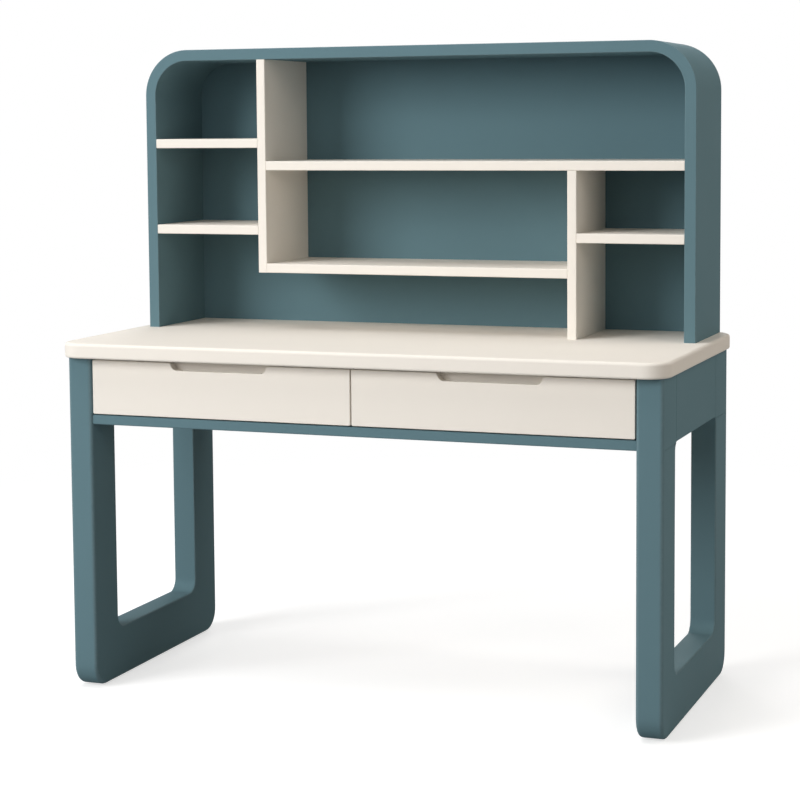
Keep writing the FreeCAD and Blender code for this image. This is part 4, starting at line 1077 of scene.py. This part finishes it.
@dataclass
class Hutch(SubAssembly):
    """Shelf unit: bent teal shell, back panel, and cream dividers and shelves."""

    shell_thickness: float = 24.0
    corner_radius: float = 100.0
    rebate_width: float = 10.0
    rebate_gap: float = 0.3
    front_round: float = 1.5
    rear_round: float = 0.6
    board_round: float = 2.0
    eased: float = 0.4
    bend_steps: int = 28
    steps: int = 7
    shelves: tuple[str, ...] = (
        "upper_left_shelf", "lower_left_shelf", "long_shelf", "middle_shelf", "right_shelf"
    )
    dividers: tuple[str, ...] = ("left_divider", "right_divider")

    def shell(self) -> Rings:
        """Bent board: an L-shaped section carried up one side, over the top and down again.

        The section's origin runs along the board's inner face. The rebate at its rear takes
        the back panel.

        Returns:
            Rings from the right foot to the left one.
        """
        (x0, x1), (y0, y1), (z0, z1) = Span.of("hutch_shell").pairs()
        seat = Span.of("hutch_back_panel").low[Axis.Y]
        corner, thick, rebate = self.corner_radius, self.shell_thickness, self.rebate_width
        profile, crown = rounded_outline(
            [(0.0, y0), (thick, y0), (thick, y1), (rebate, y1), (rebate, seat), (0.0, seat)],
            [self.front_round, self.front_round, self.rear_round, self.eased, self.eased, self.eased],
            np.zeros(1),
            self.steps,
        )
        right = spokes(arc_shares(self.bend_steps) * QUARTER_TURN)
        left = (right * [-1.0, 1.0])[::-1]
        right_bend = np.array([x1 - corner, z1 - corner]) + (corner - thick) * right
        left_bend = np.array([x0 + corner, z1 - corner]) + (corner - thick) * left
        origin = np.concatenate([[[x1 - thick, z0]], right_bend, left_bend, [[x0 + thick, z0]]])
        outward = np.concatenate([right[:1], right, left, left[-1:]])
        return carried(profile[0], crown, origin, outward)

    def back_panel(self) -> Rings:
        """Thin panel with two rounded upper corners.

        Returns:
            Rings from its front to its rear face.
        """
        eased = self.eased
        radius = self.corner_radius - self.shell_thickness + self.rebate_width - self.rebate_gap
        radii = [eased, eased, radius, radius]
        return plate("hutch_back_panel", Plane.FRONT, radii, (eased, eased), self.bend_steps)

    def board(self, node: str, plane: Plane) -> Rings:
        """Shelf or divider with rounded front edges. The others are eased.

        Args:
            node: CAD node of the board.
            plane: SIDE for a shelf and PLAN for a divider.

        Returns:
            Rings from one end of the board to the other.
        """
        front, eased = self.board_round, self.eased
        radii = [front, eased, eased, front] if plane is Plane.SIDE else [front, front, eased, eased]
        return plate(node, plane, radii, (eased, eased), self.steps)

    def build(self) -> None:
        """Makes the shell, the back panel and every board."""
        self.dress(solid("hutch_bent_shell", self.shell()), "hutch_shell", "desk", Slot.TEAL)
        self.dress(solid("hutch_back_board", self.back_panel()), "hutch_back_panel", "desk", Slot.TEAL)
        for nodes, plane in ((self.shelves, Plane.SIDE), (self.dividers, Plane.PLAN)):
            for node in nodes:
                piece = solid(f"{node}_board", self.board(node, plane))
                self.dress(piece, node, "desk", Slot.CREAM)


@dataclass
class Fittings(SubAssembly):
    """CAD pieces that keep their shape and get a finish."""

    nodes: dict[str, bpy.types.Object] = field(default_factory=dict)
    # Endings of node names and the finish that goes with them. The first match counts.
    rules: tuple[tuple[tuple[str, ...], str], ...] = (
        (("outer_side", "inner_side"), "birch_plywood_sides"),
        (("drawer_back",), "birch_plywood_backs"),
        (("drawer_bottom",), "birch_plywood_bottoms"),
        (("dowels",), "beech"),
        (("cam_locks",), "die_cast_zinc"),
        (("ball_cages", "hutch_inserts"), "brass_strip"),
        (("floor_glides",), "moulded_nylon"),
        (("box_front",), Slot.CREAM.finish),
        (("side_apron", "rear_apron", "drawer_rail", "centre_partition"), Slot.TEAL.finish),
    )
    other: str = "zinc_plated_steel"

    def finish_of(self, node: str) -> str:
        """Name of the finish that suits a CAD node."""
        return next((finish for endings, finish in self.rules if node.endswith(endings)), self.other)

    def build(self) -> None:
        """Gives every CAD node that still shows its finish."""
        for node, piece in self.nodes.items():
            if piece.hide_render:
                continue
            finish = self.finish_of(node)
            for slot in piece.material_slots:
                slot.material = self.finishes.of(finish)
            LOG.info("%s keeps its CAD shape in %s", node, finish)


# -------- stage


@dataclass(frozen=True)
class Lamp:
    """Soft box: a square area lamp that faces a point. Metres and watts."""

    name: str
    place: Triple
    side: float
    power: float
    target: Triple = (0.0, 0.0, 0.75)
    colour: str = "#FFFFFF"

    def build(self) -> None:
        """Makes the lamp."""
        light = bpy.data.lights.new(self.name, "AREA")
        light.shape = "SQUARE"
        light.size = self.side
        light.energy = self.power
        light.color = linear(self.colour)[:3]
        lamp = linked(bpy.data.objects.new(self.name, light))
        lamp.location = self.place
        aim = Vector(self.target) - Vector(self.place)
        lamp.rotation_euler = aim.to_track_quat("-Z", "Y").to_euler()


@dataclass(frozen=True)
class Viewpoint:
    """Camera: place in metres, angles in radians, focal length in pixels of its square picture."""

    place: Triple = (1.54281, -4.07678, 1.18835)
    yaw: float = 0.3615
    pitch: float = 0.0869
    roll: float = -0.0075
    focal_pixels: float = 2069.9
    picture_pixels: float = 800.0
    # Row of the picture that the optical axis goes through.
    centre_row: float = 305.0
    sensor_mm: float = 36.0
    reach: float = 200.0

    def build(self) -> None:
        """Makes the camera and sets it as the scene's."""
        data = bpy.data.cameras.new("camera")
        data.sensor_width = self.sensor_mm
        data.lens = self.focal_pixels / self.picture_pixels * self.sensor_mm
        data.shift_y = (self.centre_row - self.picture_pixels / 2) / self.picture_pixels
        data.clip_end = self.reach
        camera = linked(bpy.data.objects.new("camera", data))
        spin = Matrix.Rotation
        turn = spin(self.yaw, 3, "Z") @ spin(QUARTER_TURN - self.pitch, 3, "X") @ spin(self.roll, 3, "Z")
        camera.location = self.place
        camera.rotation_euler = turn.to_euler()
        bpy.context.scene.camera = camera


@dataclass
class Studio:
    """Pale floor, soft lamps and a white surround."""

    ambient: float = 0.02
    lamps: tuple[Lamp, ...] = (
        Lamp("key_softbox", (-3.72, -4.94, 2.8), 3.2, 304.0),
        Lamp("high_left_softbox", (-1.36, -1.62, 4.72), 1.8, 58.0),
        Lamp("front_softbox", (0.0, -2.9, 2.1), 1.8, 17.0),
        Lamp("overhead_softbox", (0.0, 0.0, 5.0), 1.8, 46.0),
        Lamp("right_softbox", (3.98, -1.64, 1.98), 2.2, 33.0, colour="#FFF6EB"),
        Lamp("rear_right_softbox", (3.56, 0.95, 3.2), 1.8, 39.0, colour="#FFF6EB"),
        Lamp("rear_softbox", (-1.2, 4.4, 2.2), 2.2, 80.0),
    )
    floor_half: float = 60.0
    # Distances at which the floor starts to fade and at which it is plain white.
    fade: Pair = (1.2, 3.0)
    # Paper that shows the shadow, and the light that lifts it towards white.
    paper: str = "#C8C8C8"
    lift: float = 0.62
    # Grey that the floor throws back onto the desk.
    bounce: str = "#A8A8A8"

    def surround(self) -> None:
        """White to look at, and a plain grey light from all round."""
        world = bpy.data.worlds.new("surround")
        tree = empty_tree(world)
        seen = add(tree, "ShaderNodeBackground", (WHITE, 1.0))
        cast = add(tree, "ShaderNodeBackground", (WHITE, self.ambient))
        add(tree, "ShaderNodeOutputWorld", {"Surface": seen_or_cast(tree, seen, cast)})
        bpy.context.scene.world = world

    def floor_paper(self) -> bpy.types.Material:
        """Paper that keeps the desk's soft shadow and turns white further out.

        Returns:
            The material of the floor.
        """
        material = bpy.data.materials.new("studio_paper")
        tree = empty_tree(material)
        place = add(tree, "ShaderNodeTexCoord").outputs["Object"]
        distance = add(tree, "ShaderNodeVectorMath", (place,), operation="LENGTH")
        inputs = (distance.outputs["Value"], *self.fade, 0.0, 1.0)
        far = add(tree, "ShaderNodeMapRange", inputs, interpolation_type="SMOOTHSTEP")
        paper = add(tree, "ShaderNodeBsdfDiffuse", {"Color": linear(self.paper)})
        lit = add(tree, "ShaderNodeAddShader", (paper, add(tree, "ShaderNodeEmission", (WHITE, self.lift))))
        plain = add(tree, "ShaderNodeEmission", (WHITE, 1.0))
        seen = add(tree, "ShaderNodeMixShader", (far, lit, plain))
        bounce = add(tree, "ShaderNodeBsdfDiffuse", {"Color": linear(self.bounce)})
        add(tree, "ShaderNodeOutputMaterial", {"Surface": seen_or_cast(tree, seen, bounce)})
        return material

    def floor(self) -> None:
        """Makes the floor."""
        half = self.floor_half
        corners = [(-half, -half, 0), (half, -half, 0), (half, half, 0), (-half, half, 0)]
        mesh = bpy.data.meshes.new("studio_floor")
        mesh.from_pydata(corners, [], [range(len(corners))])
        mesh.materials.append(self.floor_paper())
        linked(bpy.data.objects.new("studio_floor", mesh))

    def build(self) -> None:
        """Makes surround, floor and lamps."""
        self.surround()
        self.floor()
        for lamp in self.lamps:
            lamp.build()


def main() -> None:
    """Builds the desk's looks in order."""
    logging.basicConfig(level=logging.INFO, format="%(message)s")
    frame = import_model()
    finishes = Finishes()
    Top(finishes).build()
    for side in Side:
        LegFrame(finishes, side=side).build()
        Drawer(finishes, side=side).build()
    Hutch(finishes).build()
    Fittings(finishes, nodes=frame["nodes"]).build()
    Viewpoint().build()
    Studio().build()
    bpy.context.scene.view_settings.view_transform = "Standard"


if __name__ == "__main__":
    main()
